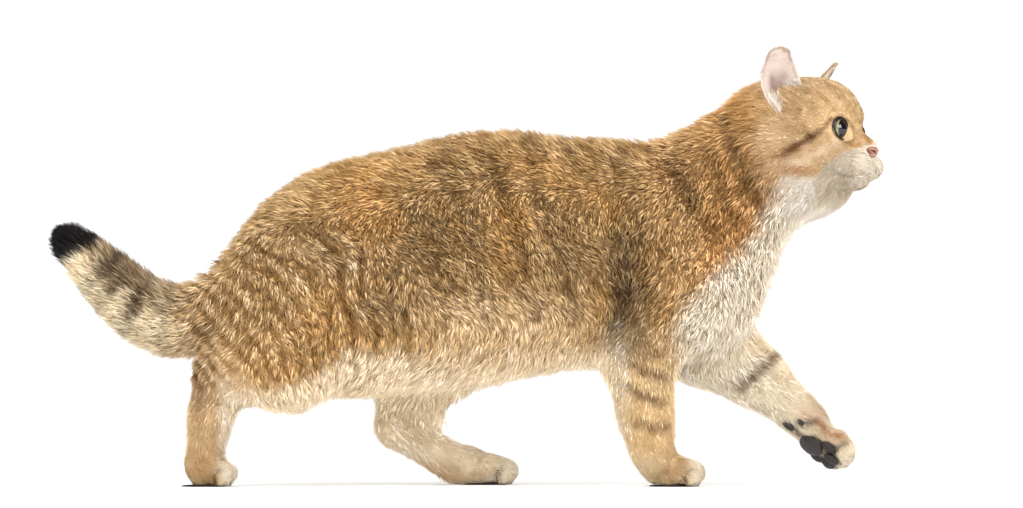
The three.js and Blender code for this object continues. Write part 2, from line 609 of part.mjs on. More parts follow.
// Ears are cups: half-oval sections carried from foot to tip, with the wall's thickness between outside
// and inside.
function ear(side, turned) {
  const around = 20;
  const tall = 9;
  const section = (u, v, target) => {
    const s = v * (EAR.length - 1);
    const read = (edge) => [0, 1, 2].map((axis) => smooth(EAR, s, (k) => k[edge][axis]));
    const [front, back, outer] = [read("front"), read("back"), read("outer")];
    const thick = smooth(EAR, s, (k) => k.thick);
    const middle = add(front, sub(outer, front), 0.5);
    const half = sub(outer, middle);
    const deep = sub(back, middle);
    const turn = (Math.round(u * around) % around) / around;
    const inside = turn > 0.5;
    const bow = (inside ? 3 - 4 * turn : 4 * turn - 1) * (Math.PI / 2);
    const wall = inside ? thick : 0;
    const across = Math.max(1 - (wall * 0.4) / Math.hypot(...half), 0.2) * Math.sin(bow);
    const down = Math.max(1 - wall / Math.hypot(...deep), -0.4) * Math.cos(bow);
    const pole = v === 0 || v === 1;
    const place = pole ? add(middle, deep, 0.5) : add(add(middle, half, across), deep, down);
    target.set(...mirrored(place, side));
  };
  const [x, y] = [EAR_PIVOT[0], EAR_PIVOT[1] * side];
  const made = new ParametricGeometry(section, around, tall);
  return inRoom(made.translate(-x, -y, 0).rotateZ(-side * turned).translate(x, y, 0));
}
const grownHead = solid(wholeHead(GAP));
for (const [name, side] of [["right_ear", -1], ["left_ear", 1]]) {
  node(name, ear(side, EAR_TURN[name]).subtract(grownHead), "ear");
}
node("head", skull);

export default cat;
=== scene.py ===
"""The looks of a golden short-haired cat, life size, walking with its left forepaw lifted.

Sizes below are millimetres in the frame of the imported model: +X the way the cat faces, +Y to its left, +Z
up. MM turns them into metres when a mesh is written. The whole coat's outline is one blended field, as in
the solids. The skin lies inside it by the coat's depth, and the coat is made of tufts that grow from the
skin out to that outline.
"""

import bpy
import numpy as np
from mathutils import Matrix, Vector


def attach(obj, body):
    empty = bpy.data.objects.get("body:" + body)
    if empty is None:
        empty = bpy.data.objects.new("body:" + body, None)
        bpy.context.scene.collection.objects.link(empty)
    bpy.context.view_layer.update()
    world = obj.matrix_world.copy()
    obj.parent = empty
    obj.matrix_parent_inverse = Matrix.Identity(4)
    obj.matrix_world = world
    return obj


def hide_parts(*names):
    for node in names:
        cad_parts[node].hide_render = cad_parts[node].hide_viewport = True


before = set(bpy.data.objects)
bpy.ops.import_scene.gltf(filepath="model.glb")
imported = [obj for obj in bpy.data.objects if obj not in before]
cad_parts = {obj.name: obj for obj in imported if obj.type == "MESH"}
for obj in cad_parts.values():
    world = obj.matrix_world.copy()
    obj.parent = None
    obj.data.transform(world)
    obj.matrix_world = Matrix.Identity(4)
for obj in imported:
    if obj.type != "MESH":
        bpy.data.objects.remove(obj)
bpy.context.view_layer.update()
MM = 0.001
SCENE = bpy.context.scene

# ------------------------------------------------------------------ driving sizes of the form, mm
# Spine stations: x, z, sideways place, reach up, reach down, half width.
SPINE = np.array([
    (-220, 172, 0, 16, 40, 33), (-202, 177, 0, 33, 56, 48), (-176, 180, 0, 67, 88, 61),
    (-142, 182, 0, 92, 105, 70), (-96, 184, 0, 106, 110, 77), (-46, 187, 0, 113, 109, 81),
    (2, 191, 0, 121, 108, 81), (50, 196, 0, 119, 103, 76), (98, 199, 0, 110, 99, 68),
    (140, 204, 0, 106, 104, 61), (176, 213, 0, 99, 112, 58), (206, 226, -1, 90, 102, 56),
    (232, 241, -3, 86, 75, 54), (258, 259, -7, 83, 50, 52), (282, 279, -11, 78, 44, 46),
], dtype=float)
BACK_NARROWS = 0.07

# The head's own frame: +x along the muzzle, +y to the left, its origin in the middle of the skull.
HEAD_AT = np.array([296.7, -13.0, 309.0])
HEAD_TURN, HEAD_ROLL = np.radians(-29.0), np.radians(-1.7)
SKULL = ((-3, 0, 4), (51, 49, 45))
VOLUMES = [  # forehead, nape, cheek, jowl, ear root, muzzle, brow, cheekbone
    ((20, 0, 18), (30, 36, 27), 12), ((-26, 0, -10), (40, 47, 46), 20), ((8, 29, -20), (34, 28, 29), 16),
    ((3, 16, -45), (36, 31, 28), 18), ((-19, 25, 27), (14, 13, 12), 14), ((38, 0, -27), (24, 25, 19), 10),
    ((33, 19, 13), (13, 15, 8), 13), ((37, 26, -14), (13, 13, 9), 9),
]
BRIDGE = ((36, 0, 9), (61, 0, -14), (14, 8.5), 8)
WHISKER_PAD = ((55, 11, -31.5), (16.5, 13, 12.5), 4)
CHIN = ((49, 0, -43.5), (14, 13.5, 9.5), 5)
EYE_AT = np.array([37.0, 19.2, 0.0])
EYE_RADIUS, EYE_OUT, EYE_SLANT = 11.4, np.radians(20.0), np.radians(24.0)
SOCKET_RADIUS, SOCKET_SOFT, SOCKET_AHEAD = 10, 8, 8
LID_RADIUS, LID_SOFT = 12.9, 8
OPEN_LONG, OPEN_TALL, OPEN_FLARE = 10.6, 9.2, 0.015  # half the lids' opening, wider outwards
NOSE_AT = np.array([65.4, 0.0, -18.6])
NOSE_HALF = np.array([5.6, 7.8, 5.8])
MOUTH_LINE = np.array([(70, 0.3, -27.5), (67, 2, -32), (63, 8, -38), (57, 15, -41.5), (49, 21, -41), (41, 27, -38.5)])
CONCHA = ((3, 46, 28), (13, 12, 19), 3)

# The left ear: front edge, back of the cup, outer edge and wall at five stations from foot to tip.
EAR = np.array([
    (14, 20, 22, -6, 26, 17, 0, 46, 8, 4), (11, 29, 41, -9, 33, 36, -13, 51, 27, 3.4),
    (9.5, 41, 57, -7, 42, 53, -16.5, 53.5, 46, 2.8), (9, 51, 65, -0.5, 51, 64.5, -6.5, 56.5, 61.5, 2),
    (6, 57.5, 70.5, 4.5, 56.5, 71, 3.5, 58, 70, 1.2),
], dtype=float)
EAR_PIVOT = (4, 42)
EAR_TURN = {"right": 0.0, "left": np.radians(30.0)}

# Limbs: lengths of flesh as from, to, thickness at each end, sideways squeeze and softness; then the paw.
TOE_SPREAD = (-12.4, -4.4, 4.4, 12.4)
TOE_REACH = (-3.2, 0, 0, -3.6)
KNUCKLE = 15
LEVEL = {"forward": (1, 0, 0), "up": (0, 0, 1)}
LIFTED = {"forward": (0.78, 0, -0.62), "up": (0.55, 0.48, 0.69)}
LEGS = {
    "right_fore": {
        "lengths": [
            ((168, -38, 232), (190, -38, 178), (40, 42), 0.62, 30),
            ((190, -38, 178), (152, -40, 112), (42, 31), 0.72, 24),
            ((152, -40, 112), (158, -40, 62), (31, 24), 0.9, 16),
            ((158, -40, 62), (163, -40, 32), (24, 21.5), 0.88, 8),
        ],
        "paw": {"at": (172, -40, 0), **LEVEL, "reach": 29.5, "instep": 8, "toe": 8.6, "height": 8.8},
        "core": [(-6, 0, 14), (21, 0, 10)],
        "ankle": ((162, -40, 37), (0.42, 0, -1)),
    },
    "left_fore": {
        "lengths": [
            ((172, 38, 232), (208, 38, 180), (40, 42), 0.62, 30),
            ((208, 38, 180), (212, 40, 128), (42, 37), 0.72, 26),
            ((212, 40, 128), (258, 40, 97), (37, 28), 0.85, 22),
            ((258, 40, 97), (306, 40, 57), (28, 18.5), 0.95, 12),
        ],
        "paw": {"at": (303, 40, 54), **LIFTED, "reach": 46, "instep": 0, "toe": 8.3, "height": -5},
        "core": [(-8, 0, 2), (34, 0, -3.5)],
        "ankle": ((301, 40, 60), (0.78, 0, -0.62)),
    },
    "right_hind": {
        "lengths": [
            ((-150, -36, 180), (-158, -44, 112), (56, 45), 0.76, 30),
            ((-158, -44, 112), (-209, -44, 98), (45, 26), 0.72, 24),
            ((-209, -44, 98), (-219.5, -42, 60), (24, 19.3), 0.85, 12),
            ((-219.5, -42, 60), (-225, -42, 22), (19.3, 17.6), 0.9, 8),
        ],
        "paw": {"at": (-231, -42, 0), **LEVEL, "reach": 26.5, "instep": 16.5, "toe": 8.6, "height": 8.8},
        "core": [(2, 0, 14), (18, 0, 10)],
        "ankle": ((-226, -42, 34), (0, 0, -1)),
    },
    "left_hind": {
        "lengths": [
            ((-146, 36, 182), (-28, 44, 122), (56, 45), 0.76, 30),
            ((-28, 44, 122), (-45, 43, 78), (43, 31), 0.76, 24),
            ((-45, 43, 78), (-60, 42, 53), (29, 20.5), 0.82, 12),
            ((-60, 42, 53), (-6, 42, 15), (20.5, 18), 0.9, 8),
        ],
        "paw": {"at": (7, 42, 0), **LEVEL, "reach": 32, "instep": 6, "toe": 9, "height": 9.2},
        "core": [(-62, 0, 47), (20, 0, 11)],
        "ankle": ((-57, 42, 51), (0.41, 0, -0.91)),
    },
}
# The tail: middle line (x, z) and thickness.
TAIL = np.array([
    (-196, 162, 34), (-222, 149, 34), (-243, 144, 34), (-262, 146, 33), (-281, 154, 31.5), (-300, 168, 30),
    (-318, 186, 26.5), (-333, 201, 22.5), (-347.5, 213.5, 19.5),
])
TAIL_SOFT, TAIL_LENGTH_SOFT, LIMB_SOFT, PAW_SOFT, SKIN_SOFT, HEAD_SOFT = 16, 6, 12, 7, 5, 24


# ------------------------------------------------------------------ numbers
def norm(a):
    """Length of each row."""
    return np.sqrt((a * a).sum(-1))


def unit(a):
    """Each row scaled to length one."""
    a = np.asarray(a, float)
    return a / np.maximum(norm(a), 1e-9)[..., None]


def dot(a, b):
    """Row by row product sum."""
    return (a * b).sum(-1)


def step(x, low, high):
    """0 below low, 1 above high, with an S curve between: 3t^2 - 2t^3. low may be above high."""
    t = np.clip((x - low) / (high - low), 0, 1)
    return t * t * (3 - 2 * t)


def bump(x, middle, half):
    """1 at the middle, falling on a bell curve: exp(-((x - middle) / half)^2)."""
    return np.exp(-(((x - middle) / half) ** 2))


def smooth(list_, s):
    """Catmull-Rom value of the rows of a list at place s, counted in rows."""
    s = np.asarray(s, float)
    last = len(list_) - 1
    i = np.clip(np.floor(s).astype(int), 0, last - 1)
    t = (s - i)[..., None]
    a, b, c, d = (list_[np.clip(i + k, 0, last)] for k in (-1, 0, 1, 2))
    return b + 0.5 * t * (c - a + t * (2 * a - 5 * b + 4 * c - d + t * (3 * (b - c) + d - a)))


def hashed(cells, salt):
    """A repeatable number from 0 to 1 for each row of whole numbers: products with odd primes, mixed."""
    c = cells.astype(np.int64)
    h = c[..., 0] * 73856093 ^ c[..., 1] * 19349663 ^ c[..., 2] * 83492791 ^ (salt * 2654435761)
    h = (h ^ (h >> 13)) * 1274126177 & 0x7FFFFFFF
    h = (h ^ (h >> 15)) * 2246822519 & 0x7FFFFFFF
    return ((h ^ (h >> 12)) & 0xFFFFFF) / float(0xFFFFFF)


def noise(p, size, salt=0):
    """Smooth value noise from -1 to 1: hashed values at lattice corners size apart, S-curve mixed."""
    q = p / size
    low = np.floor(q)
    t = q - low
    t = t * t * (3 - 2 * t)
    total = np.zeros(len(p))
    for corner in np.ndindex(2, 2, 2):
        share = np.prod(np.where(np.array(corner), t, 1 - t), axis=1)
        total += share * hashed(low + corner, salt)
    return total * 2 - 1


def full_turn(count):
    """Angles of a count of equal steps round a circle."""
    return np.arange(count) * 2 * np.pi / count


def linear(red, green, blue):
    """Scene-linear colour of a display colour in 0 to 255."""
    c = np.array([red, green, blue]) / 255
    return np.where(c <= 0.04045, c / 12.92, ((c + 0.055) / 1.055) ** 2.4)


# ------------------------------------------------------------------ the field: under 0 inside the cat
def blend(a, b, soft):
    """The lower of two fields, with a rounded joint soft wide: min(a, b) - near^2 soft / 4."""
    near = np.maximum(soft - np.abs(a - b), 0) / soft
    return np.minimum(a, b) - near * near * soft / 4


def carve(a, b, soft):
    """The first field with the second one cut away, with a rounded edge."""
    return -blend(-a, b, soft)


def rounded(p, at, half):
    """Distance to an ellipsoid, near enough: s (s - 1) / |gradient of s|, where s is |(p - at) / half|."""
    half = np.asarray(half, float)
    q = (p - np.asarray(at, float)) / half
    scaled, slope = norm(q), norm(q / half)
    return np.where(slope < 1e-6, -half.min(), scaled * (scaled - 1) / np.maximum(slope, 1e-6))


def along_length(p, start, end):
    """Share along a straight length of the nearest place on it, and the offset from that place."""
    start, end = np.asarray(start, float), np.asarray(end, float)
    run = end - start
    t = np.clip((p - start) @ run / (run @ run), 0, 1)
    return t, p - start - t[:, None] * run


def length(p, start, end, thick, flat=1):
    """Distance to a tapered round bar, squeezed sideways by flat."""
    t, q = along_length(p, start, end)
    q = q / np.array([1, flat, 1])
    return norm(q) - (thick[0] + (thick[1] - thick[0]) * t)


SPINE_LINE = smooth(SPINE, np.arange((len(SPINE) - 1) * 4 + 1) / 4)


def trunk_place(p):
    """Nearest place on the spine line: its station, the unit run there, the height over it and the reach."""
    start, run = SPINE_LINE[:-1, :2], np.diff(SPINE_LINE[:, :2], axis=0)
    off = p[:, None, ::2] - start
    t = np.clip((off * run).sum(-1) / (run * run).sum(-1), 0, 1)
    best = ((off - t[..., None] * run) ** 2).sum(-1).argmin(1)
    share = t[np.arange(len(p)), best][:, None]
    here = SPINE_LINE[best] * (1 - share) + SPINE_LINE[best + 1] * share
    ahead = unit(run[best])
    q = p - here[:, [0, 2, 1]]
    high = -q[:, 0] * ahead[:, 1] + q[:, 2] * ahead[:, 0]
    past = np.abs(q[:, 0] * ahead[:, 0] + q[:, 2] * ahead[:, 1])
    reach = np.where(high > 0, here[:, 3], here[:, 4])
    return {
        "station": (best + share[:, 0]) / 4, "run": ahead, "side": q[:, 1], "high": high / reach,
        "reach": reach, "past": past, "half": here[:, 5],
    }


def trunk(p, place=None):
    """An egg-shaped upright section carried along the spine, fuller towards the belly."""
    k = place or trunk_place(p)
    half = k["half"] * (1 - BACK_NARROWS * np.clip(k["high"], -1, 1))
    least = np.minimum(half, k["reach"])
    scaled = np.sqrt((k["side"] / half) ** 2 + k["high"] ** 2 + (k["past"] / least) ** 2)
    return (scaled - 1) * least


def tail(p):
    """Tapered round bars from station to station, blended."""
    d = np.full(len(p), np.inf)
    for a, b in zip(TAIL[:-1], TAIL[1:]):
        bar = length(p, (a[0], 0, a[1]), (b[0], 0, b[1]), (a[2], b[2]))
        d = blend(d, bar, TAIL_LENGTH_SOFT)
    return d


def turning(z, x):
    """Rows are the axes of a frame rolled by x about its own x and then turned by z about the vertical."""
    cz, sz, cx, sx = np.cos(z), np.sin(z), np.cos(x), np.sin(x)
    return np.array([(cz, sz, 0), (-sz * cx, cz * cx, sx), (sz * sx, -cz * sx, cx)])


HEAD_AXES = turning(HEAD_TURN, HEAD_ROLL)
GAZE = np.array([np.cos(EYE_OUT), np.sin(EYE_OUT), 0.0])


def into_head(p):
    """Points in the head's own frame."""
    return (p - HEAD_AT) @ HEAD_AXES.T


def from_head(q):
    """Points of the head's own frame, in the room."""
    return np.asarray(q, float) @ HEAD_AXES + HEAD_AT


def mirrored(q, side=None):
    """Points on the left half: their y made positive, or turned by side where that is given."""
    q = np.array(q, float)
    q[..., 1] = np.abs(q[..., 1]) if side is None else q[..., 1] * side
    return q


def head(p):
    """The head: skull, rounded volumes, bridge, whisker pads and chin blended, with sockets and ear cups carved."""
    q = mirrored(into_head(p))
    d = rounded(q, *SKULL)
    for at, half, soft in VOLUMES:
        d = blend(d, rounded(q, at, half), soft)
    d = blend(d, length(q, *BRIDGE[:3]), BRIDGE[3])
    d = carve(d, norm(q - EYE_AT - GAZE * SOCKET_AHEAD) - SOCKET_RADIUS, SOCKET_SOFT)
    d = carve(d, rounded(q, *CONCHA[:2]), CONCHA[2])
    for at, half, soft in (WHISKER_PAD, CHIN):
        d = blend(d, rounded(q, at, half), soft)
    return blend(d, norm(q - EYE_AT) - LID_RADIUS, LID_SOFT)


def paw_frame(paw):
    """Rows are a paw's own axes: towards the toes, sideways and up."""
    f = unit(paw["forward"])
    up = np.asarray(paw["up"], float)
    u = unit(up - f * (up @ f))
    return np.array([f, np.cross(u, f), u])


for leg in LEGS.values():
    leg["frame"] = paw_frame(leg["paw"])
    leg["at"] = np.asarray(leg["paw"]["at"], float)


def into_paw(p, leg):
    """Points in a paw's own frame."""
    return (p - leg["at"]) @ leg["frame"].T


def from_paw(q, leg):
    """Points of a paw's own frame, in the room."""
    return np.asarray(q, float) @ leg["frame"] + leg["at"]


def paw(p, leg):
    """An instep, a pad under it, four toes side by side and a pad under each."""
    q = into_paw(p, leg)
    reach, instep, toe, height = (leg["paw"][k] for k in ("reach", "instep", "toe", "height"))
    knuckle = reach - KNUCKLE
    d = length(q, (instep - 10, 0, height + 9), (knuckle, 0, height + 3), (17.5, 13), 1.1)
    d = blend(d, rounded(q, (knuckle - 6, 0, height - 3), (12, 13, 7.5)), 5)
    for y, more in zip(TOE_SPREAD, TOE_REACH):
        end = reach + more
        bar = length(q, (knuckle, y * 0.8, height + 6), (end - 2, y, height + 3.2), (toe + 3.8, toe + 2.2), 0.8)
        d = blend(d, bar, 2)
        d = blend(d, rounded(q, (end - 3, y, height - toe + 1.5), (6, 4.6, 3)), 1.5)
    return d


def limb(p, leg):
    """All lengths of a leg and its paw."""
    d = np.full(len(p), np.inf)
    for start, end, thick, flat, _ in leg["lengths"]:
        d = blend(d, length(p, start, end, thick, flat), LIMB_SOFT)
    return within(d, p, leg["at"], 75, lambda q: paw(q, leg), PAW_SOFT)


def within(d, p, at, reach, field, soft):
    """A field blended in, worked out only where it can matter: within reach of a place."""
    close = ((p - np.asarray(at, float)) ** 2).sum(1) < reach * reach
    if close.any():
        d[close] = blend(d[close], field(p[close]), soft)
    return d


LEG_REACH = {"right_fore": (166, -40, 110, 185), "left_fore": (240, 40, 120, 185), "right_hind": (-190, -42, 95, 165),
             "left_hind": (-80, 42, 95, 175)}


def body(p):
    """The whole coat's outline: trunk, tail, limbs and head blended."""
    d = trunk(p)
    d = within(d, p, (-270, 0, 160), 130, tail, TAIL_SOFT)
    for name, leg in LEGS.items():
        *at, reach = LEG_REACH[name]
        close = ((p - np.asarray(at, float)) ** 2).sum(1) < reach * reach
        if not close.any():
            continue
        near, part = d[close], p[close]
        for start, end, thick, flat, soft in leg["lengths"][:3]:
            near = blend(near, length(part, start, end, thick, flat), soft)
        d[close] = blend(near, limb(part, leg), SKIN_SOFT)
    return within(d, p, HEAD_AT, 135, head, HEAD_SOFT)


def slope(field, p, reach=0.6):
    """The field's gradient from four places round each point, set as a tetrahedron."""
    corners = np.array([(1, -1, -1), (-1, -1, 1), (-1, 1, -1), (1, 1, 1)], float)
    return sum(c * field(p + c * reach)[:, None] for c in corners) / (4 * reach)


def onto(field, p, level=0.0, rounds=2):
    """Points moved down the gradient until the field has the level there, and the unit gradient."""
    for _ in range(rounds):
        g = slope(field, p)
        size = np.maximum((g * g).sum(1), 0.05)
        p = p - g * np.clip((field(p) - level) / size, -6, 6)[:, None]
    return p, unit(slope(field, p))


# ------------------------------------------------------------------ meshes
def grid_faces(rows, around, caps=True):
    """Quads of a grid of rows that closes round, row by row. With caps, the two last vertices are its poles."""
    i, j = np.meshgrid(np.arange(rows - 1), np.arange(around), indexing="ij")
    k = (j + 1) % around
    quads = np.stack([i * around + j, (i + 1) * around + j, (i + 1) * around + k, i * around + k], -1).reshape(-1, 4)
    if not caps:
        return [quads]
    j = np.arange(around)
    k = (j + 1) % around
    first = np.stack([np.full(around, rows * around), j, k], -1)
    last = np.stack([np.full(around, rows * around + 1), (rows - 1) * around + k, (rows - 1) * around + j], -1)
    return [quads, np.concatenate([first, last])]


def triangles(faces):
    """Every face as triangles."""
    parts = [f if f.shape[1] == 3 else np.concatenate([f[:, [0, 1, 2]], f[:, [0, 2, 3]]]) for f in faces]
    return np.concatenate(parts)


def outward(points, faces):
    """Faces turned so that the closed shape's volume, the sum of a.(b x c) / 6, isn't negative."""
    a, b, c = (points[triangles(faces)[:, k]] for k in range(3))
    return faces if dot(a, np.cross(b, c)).sum() > 0 else [f[:, ::-1] for f in faces]


def put(name, points, faces, material=None, colour=None, uv=None, flat=False):
    """A mesh object from points in mm and lists of faces, with a colour for each vertex and a UV for each corner."""
    mesh = bpy.data.meshes.new(name)
    corners = np.concatenate([f.ravel() for f in faces]).astype(np.int32)
    sides = np.concatenate([np.full(len(f), f.shape[1]) for f in faces])
    mesh.vertices.add(len(points))
    mesh.vertices.foreach_set("co", np.ascontiguousarray(points * MM, np.float32).ravel())
    mesh.loops.add(len(corners))
    mesh.loops.foreach_set("vertex_index", corners)
    mesh.polygons.add(len(sides))
    mesh.polygons.foreach_set("loop_start", (np.cumsum(sides) - sides).astype(np.int32))
    mesh.polygons.foreach_set("use_smooth", np.full(len(sides), not flat))
    mesh.update(calc_edges=True)
    if colour is not None:
        layer = mesh.attributes.new("hair", "FLOAT_COLOR", "POINT")
        full = np.ones((len(points), 4), np.float32)
        full[:, : colour.shape[1]] = colour
        layer.data.foreach_set("color", full.ravel())
    if uv is not None:
        layer = mesh.uv_layers.new(name="OFBake")
        layer.data.foreach_set("uv", np.ascontiguousarray(uv, np.float32).ravel())
    if material:
        mesh.materials.append(material)
    piece = bpy.data.objects.new(name, mesh)
    SCENE.collection.objects.link(piece)
    return piece


def declare(piece, slot, *nodes):
    """A finished piece rides on the body and stands for the nodes named; its slot is not used."""
    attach(piece, "root")
    if nodes:
        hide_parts(*nodes)


def ball(rings, around):
    """Unit directions of a globe by rings and places round, its two poles last: (cos, sin cos, sin sin)."""
    angle = np.linspace(0, np.pi, rings + 1)[1:-1, None]
    turn = full_turn(around)
    local = np.stack([np.cos(angle) + 0 * turn, np.sin(angle) * np.cos(turn), np.sin(angle) * np.sin(turn)], -1)
    return np.concatenate([local.reshape(-1, 3), [(1, 0, 0), (-1, 0, 0)]]), grid_faces(rings - 1, around)


def joined(parts):
    """Several (points, faces) as one, with a list of where each part starts."""
    points, faces, start = [], [], 0
    for p, f in parts:
        points.append(p)
        faces += [k + start for k in f]
        start += len(p)
    return np.concatenate(points), faces


def ray_reach(field, origins, directions, most, coarse=28, halvings=11):
    """How far each ray goes before it leaves the field: equal steps to the first place outside, then halving."""
    count = len(directions)
    low, high = np.full(count, most - most / coarse), np.full(count, float(most))
    active = np.arange(count)
    for i in range(1, coarse):
        far = most * i / coarse
        inside = field(origins[active] + directions[active] * far) < 0
        gone = active[~inside]
        low[gone], high[gone] = far - most / coarse, far
        active = active[inside]
        if not len(active):
            break
    for _ in range(halvings):
        middle = (low + high) / 2
        inside = field(origins + directions * middle[:, None]) < 0
        low, high = np.where(inside, middle, low), np.where(inside, high, middle)
    return (low + high) / 2


def shell(field, path, rings, around, most, across=(0, 1, 0), turned=np.pi / 2, crowd=1.0):
    """A closed surface of rays round a path: square to it along it, fanned out round its two ends.

    Row v and place u round the row give the ray's direction: the path's run times sin(lean), plus
    cos(lean) times the circle of up and side. turned is how far the first end's fan leans back."""
    path = np.asarray(path, float)
    reach = np.concatenate([[0], np.cumsum(norm(np.diff(path, axis=0)))])
    total = sum(rings)
    v = np.arange(1, total)
    share = np.clip((v - rings[0]) / max(rings[1], 1), 0, 1) * reach[-1]
    at = np.stack([np.interp(share, reach, path[:, k]) for k in range(3)], -1)
    behind, ahead = (np.stack([np.interp(share + s, reach, path[:, k]) for k in range(3)], -1) for s in (-6, 6))
    run = unit(ahead - behind)
    lean = np.where(v < rings[0], (v / rings[0] - 1) * turned, 0)
    left = np.clip((total - v) / rings[2], 0, 1)
    lean = np.where(v > rings[0] + rings[1], (1 - left**crowd) * np.pi / 2, lean)
    side = unit(np.asarray(across, float) - run * (run @ np.asarray(across, float))[:, None])
    up = np.cross(run, side)
    turn = full_turn(around)
    ray = up[:, None] * np.cos(turn)[:, None] + side[:, None] * np.sin(turn)[:, None]
    ray = ray * np.cos(lean)[:, None, None] + (run * np.sin(lean)[:, None])[:, None]
    origins = np.repeat(at, around, 0)
    ray = ray.reshape(-1, 3)
    ends = np.array([path[0], path[-1]])
    tips = np.array([-run[0], run[-1]])
    origins, ray = np.concatenate([origins, ends]), np.concatenate([ray, tips])
    points = origins + ray * ray_reach(field, origins, ray, most)[:, None]
    if turned > 1.6:  # a fan that leans far back closes at its own root
        points[-2] = path[0]
    return points, grid_faces(total - 1, around)


# ------------------------------------------------------------------ the outline of the closed coat
def leg_field(leg):
    """The outline near one leg."""
    return lambda p: np.maximum(np.maximum(body(p), limb(p, leg) - 14), 9 - tail(p))


def head_field(p):
    """The outline near the head."""
    return np.maximum(body(p), head(p) - 14)


def torso_field(p):
    """The outline near the trunk, with a short stump of each limb."""
    d = trunk(p)
    for leg in LEGS.values():
        for start, end, thick, flat, soft in leg["lengths"][:2]:
            d = blend(d, length(p, start, end, thick, flat), soft)
    return np.maximum(body(p), d - 34)


HEAD_CORE = from_head([(0, 0, -8), (1, 0, -8)])
shells = [
    shell(torso_field, [(-212, 0, 172), (222, 0, 222)], (8, 60, 12), 64, 175),
    shell(body, [(196, 0, 226), (276, -9, 276)], (6, 14, 6), 40, 130),
    shell(lambda p: np.maximum(body(p), tail(p) - 8), [(x, 0, z) for x, z, _ in TAIL[1:]], (4, 30, 8), 32, 60),
    shell(head_field, HEAD_CORE, (20, 0, 30), 64, 110, across=HEAD_AXES[1]),
]
for name, leg in LEGS.items():
    joints = [end for _, end, *_ in leg["lengths"]][1:3 if name == "left_hind" else 4]
    shells.append(shell(leg_field(leg), joints, (5, 22, 6), 28, 60))
    shells.append(shell(leg_field(leg), from_paw(leg["core"], leg), (6, 14, 10), 36, 60, across=leg["frame"][1]))
shells = [(p, outward(p, f)) for p, f in shells]
VOXEL = 3.9
raw = put("outline", *joined(shells))
remesh = raw.modifiers.new("one_surface", "REMESH")
remesh.mode, remesh.voxel_size = "VOXEL", VOXEL * MM
bpy.context.view_layer.update()
whole = raw.evaluated_get(bpy.context.evaluated_depsgraph_get()).to_mesh()
form = np.empty(len(whole.vertices) * 3, np.float32)
whole.vertices.foreach_get("co", form)
form = form.reshape(-1, 3).astype(float) / MM
form_faces = np.empty(len(whole.loops), np.int32)
whole.loops.foreach_get("vertex_index", form_faces)
form_faces = form_faces.reshape(-1, 4)
bpy.data.objects.remove(raw)
form, form_normals = onto(body, form, rounds=3)
form[:, 2] = np.maximum(form[:, 2], 0)


# ------------------------------------------------------------------ the fine forms of face and feet
LID_OUT = np.radians(10.0)  # how far the lids' opening and the pupil are turned outwards


def eye_frame(side, slant=EYE_SLANT):
    """Centre and axes of one eye, in the head's frame: where it looks, the opening's long way and its tall way."""
    look = mirrored(np.array([np.cos(LID_OUT), np.sin(LID_OUT), 0.0]), side)
    out = unit(np.cross((0, 0, 1), look))
    lift = np.cross(look, out)
    c, s = np.cos(side * slant), np.sin(side * slant)
    return mirrored(EYE_AT, side), np.array([look, out * c + lift * s, lift * c - out * s])


LEFT_EYE_AT, LEFT_EYE_AXES = eye_frame(1)
EYE_BED = 10.2  # how deep the opening between the lids goes, from the eye's middle
INNER_CORNER = 2.6  # how far the opening runs out in a point towards the nose


def lid_opening(q):
    """Field of the opening between the lids: an oval drum round the look, with a point at its inner corner."""
    e, wide = lid_place(q)
    return np.maximum((wide - 1) * OPEN_TALL, np.maximum(EYE_BED - norm(e), -e[:, 0]))


def lid_place(q):
    """Places from the eye's middle in its own axes, and how far out each is, 1 at the opening's edge."""
    e = (q - LEFT_EYE_AT) @ LEFT_EYE_AXES.T
    inner = np.clip(-e[:, 1] / OPEN_LONG, 0, 1) ** 3
    wide = norm(np.stack([e[:, 1] / (OPEN_LONG + INNER_CORNER * inner), e[:, 2] / OPEN_TALL], -1))
    return e, wide / (1 + OPEN_FLARE * (e[:, 0] - EYE_RADIUS))


def line_distance(q, line, radius=0):
    """Distance to a round cord of straight lengths through a row of places."""
    d = np.full(len(q), np.inf)
    for a, b in zip(line[:-1], line[1:]):
        d = np.minimum(d, norm(along_length(q, a, b)[1]) - radius)
    return d


def beside(q, line, half):
    """1 on a line of places, falling on a bell curve: exp(-(distance / half)^2)."""
    return np.exp(-((line_distance(q, line) / half) ** 2))


MOUTH_FROM = np.array([20.0, 0.0, -30.0])
lips_ray = unit(MOUTH_LINE - MOUTH_FROM)
MOUTH_ON = MOUTH_FROM + lips_ray * ray_reach(
    lambda q: head(from_head(q)), np.repeat(MOUTH_FROM[None], len(MOUTH_LINE), 0), lips_ray, 90
)[:, None]
PHILTRUM = np.array([(72.0, 0, -23.5), (71.5, 0, -28.5)])
JAW_CREASE = np.array([(41.0, 26, -43.5), (37, 28, -50), (33, 22, -57)])


STOP = (-1.0, 6.0, 3.0)  # the dip of the nose's bridge between the eyes: height, half height and depth
EAR_HOLLOW = np.array([(9, 47, 19), (12, 50, 28), (14, 46, 38)], float)  # middle line of the ear's hollow
HOLLOW_HALF = 9.5


LIP_FRONT = ((64.5, 0, -36), (6.5, 10, 6.5), 6)  # rounds off the front of the mouth between lips and chin


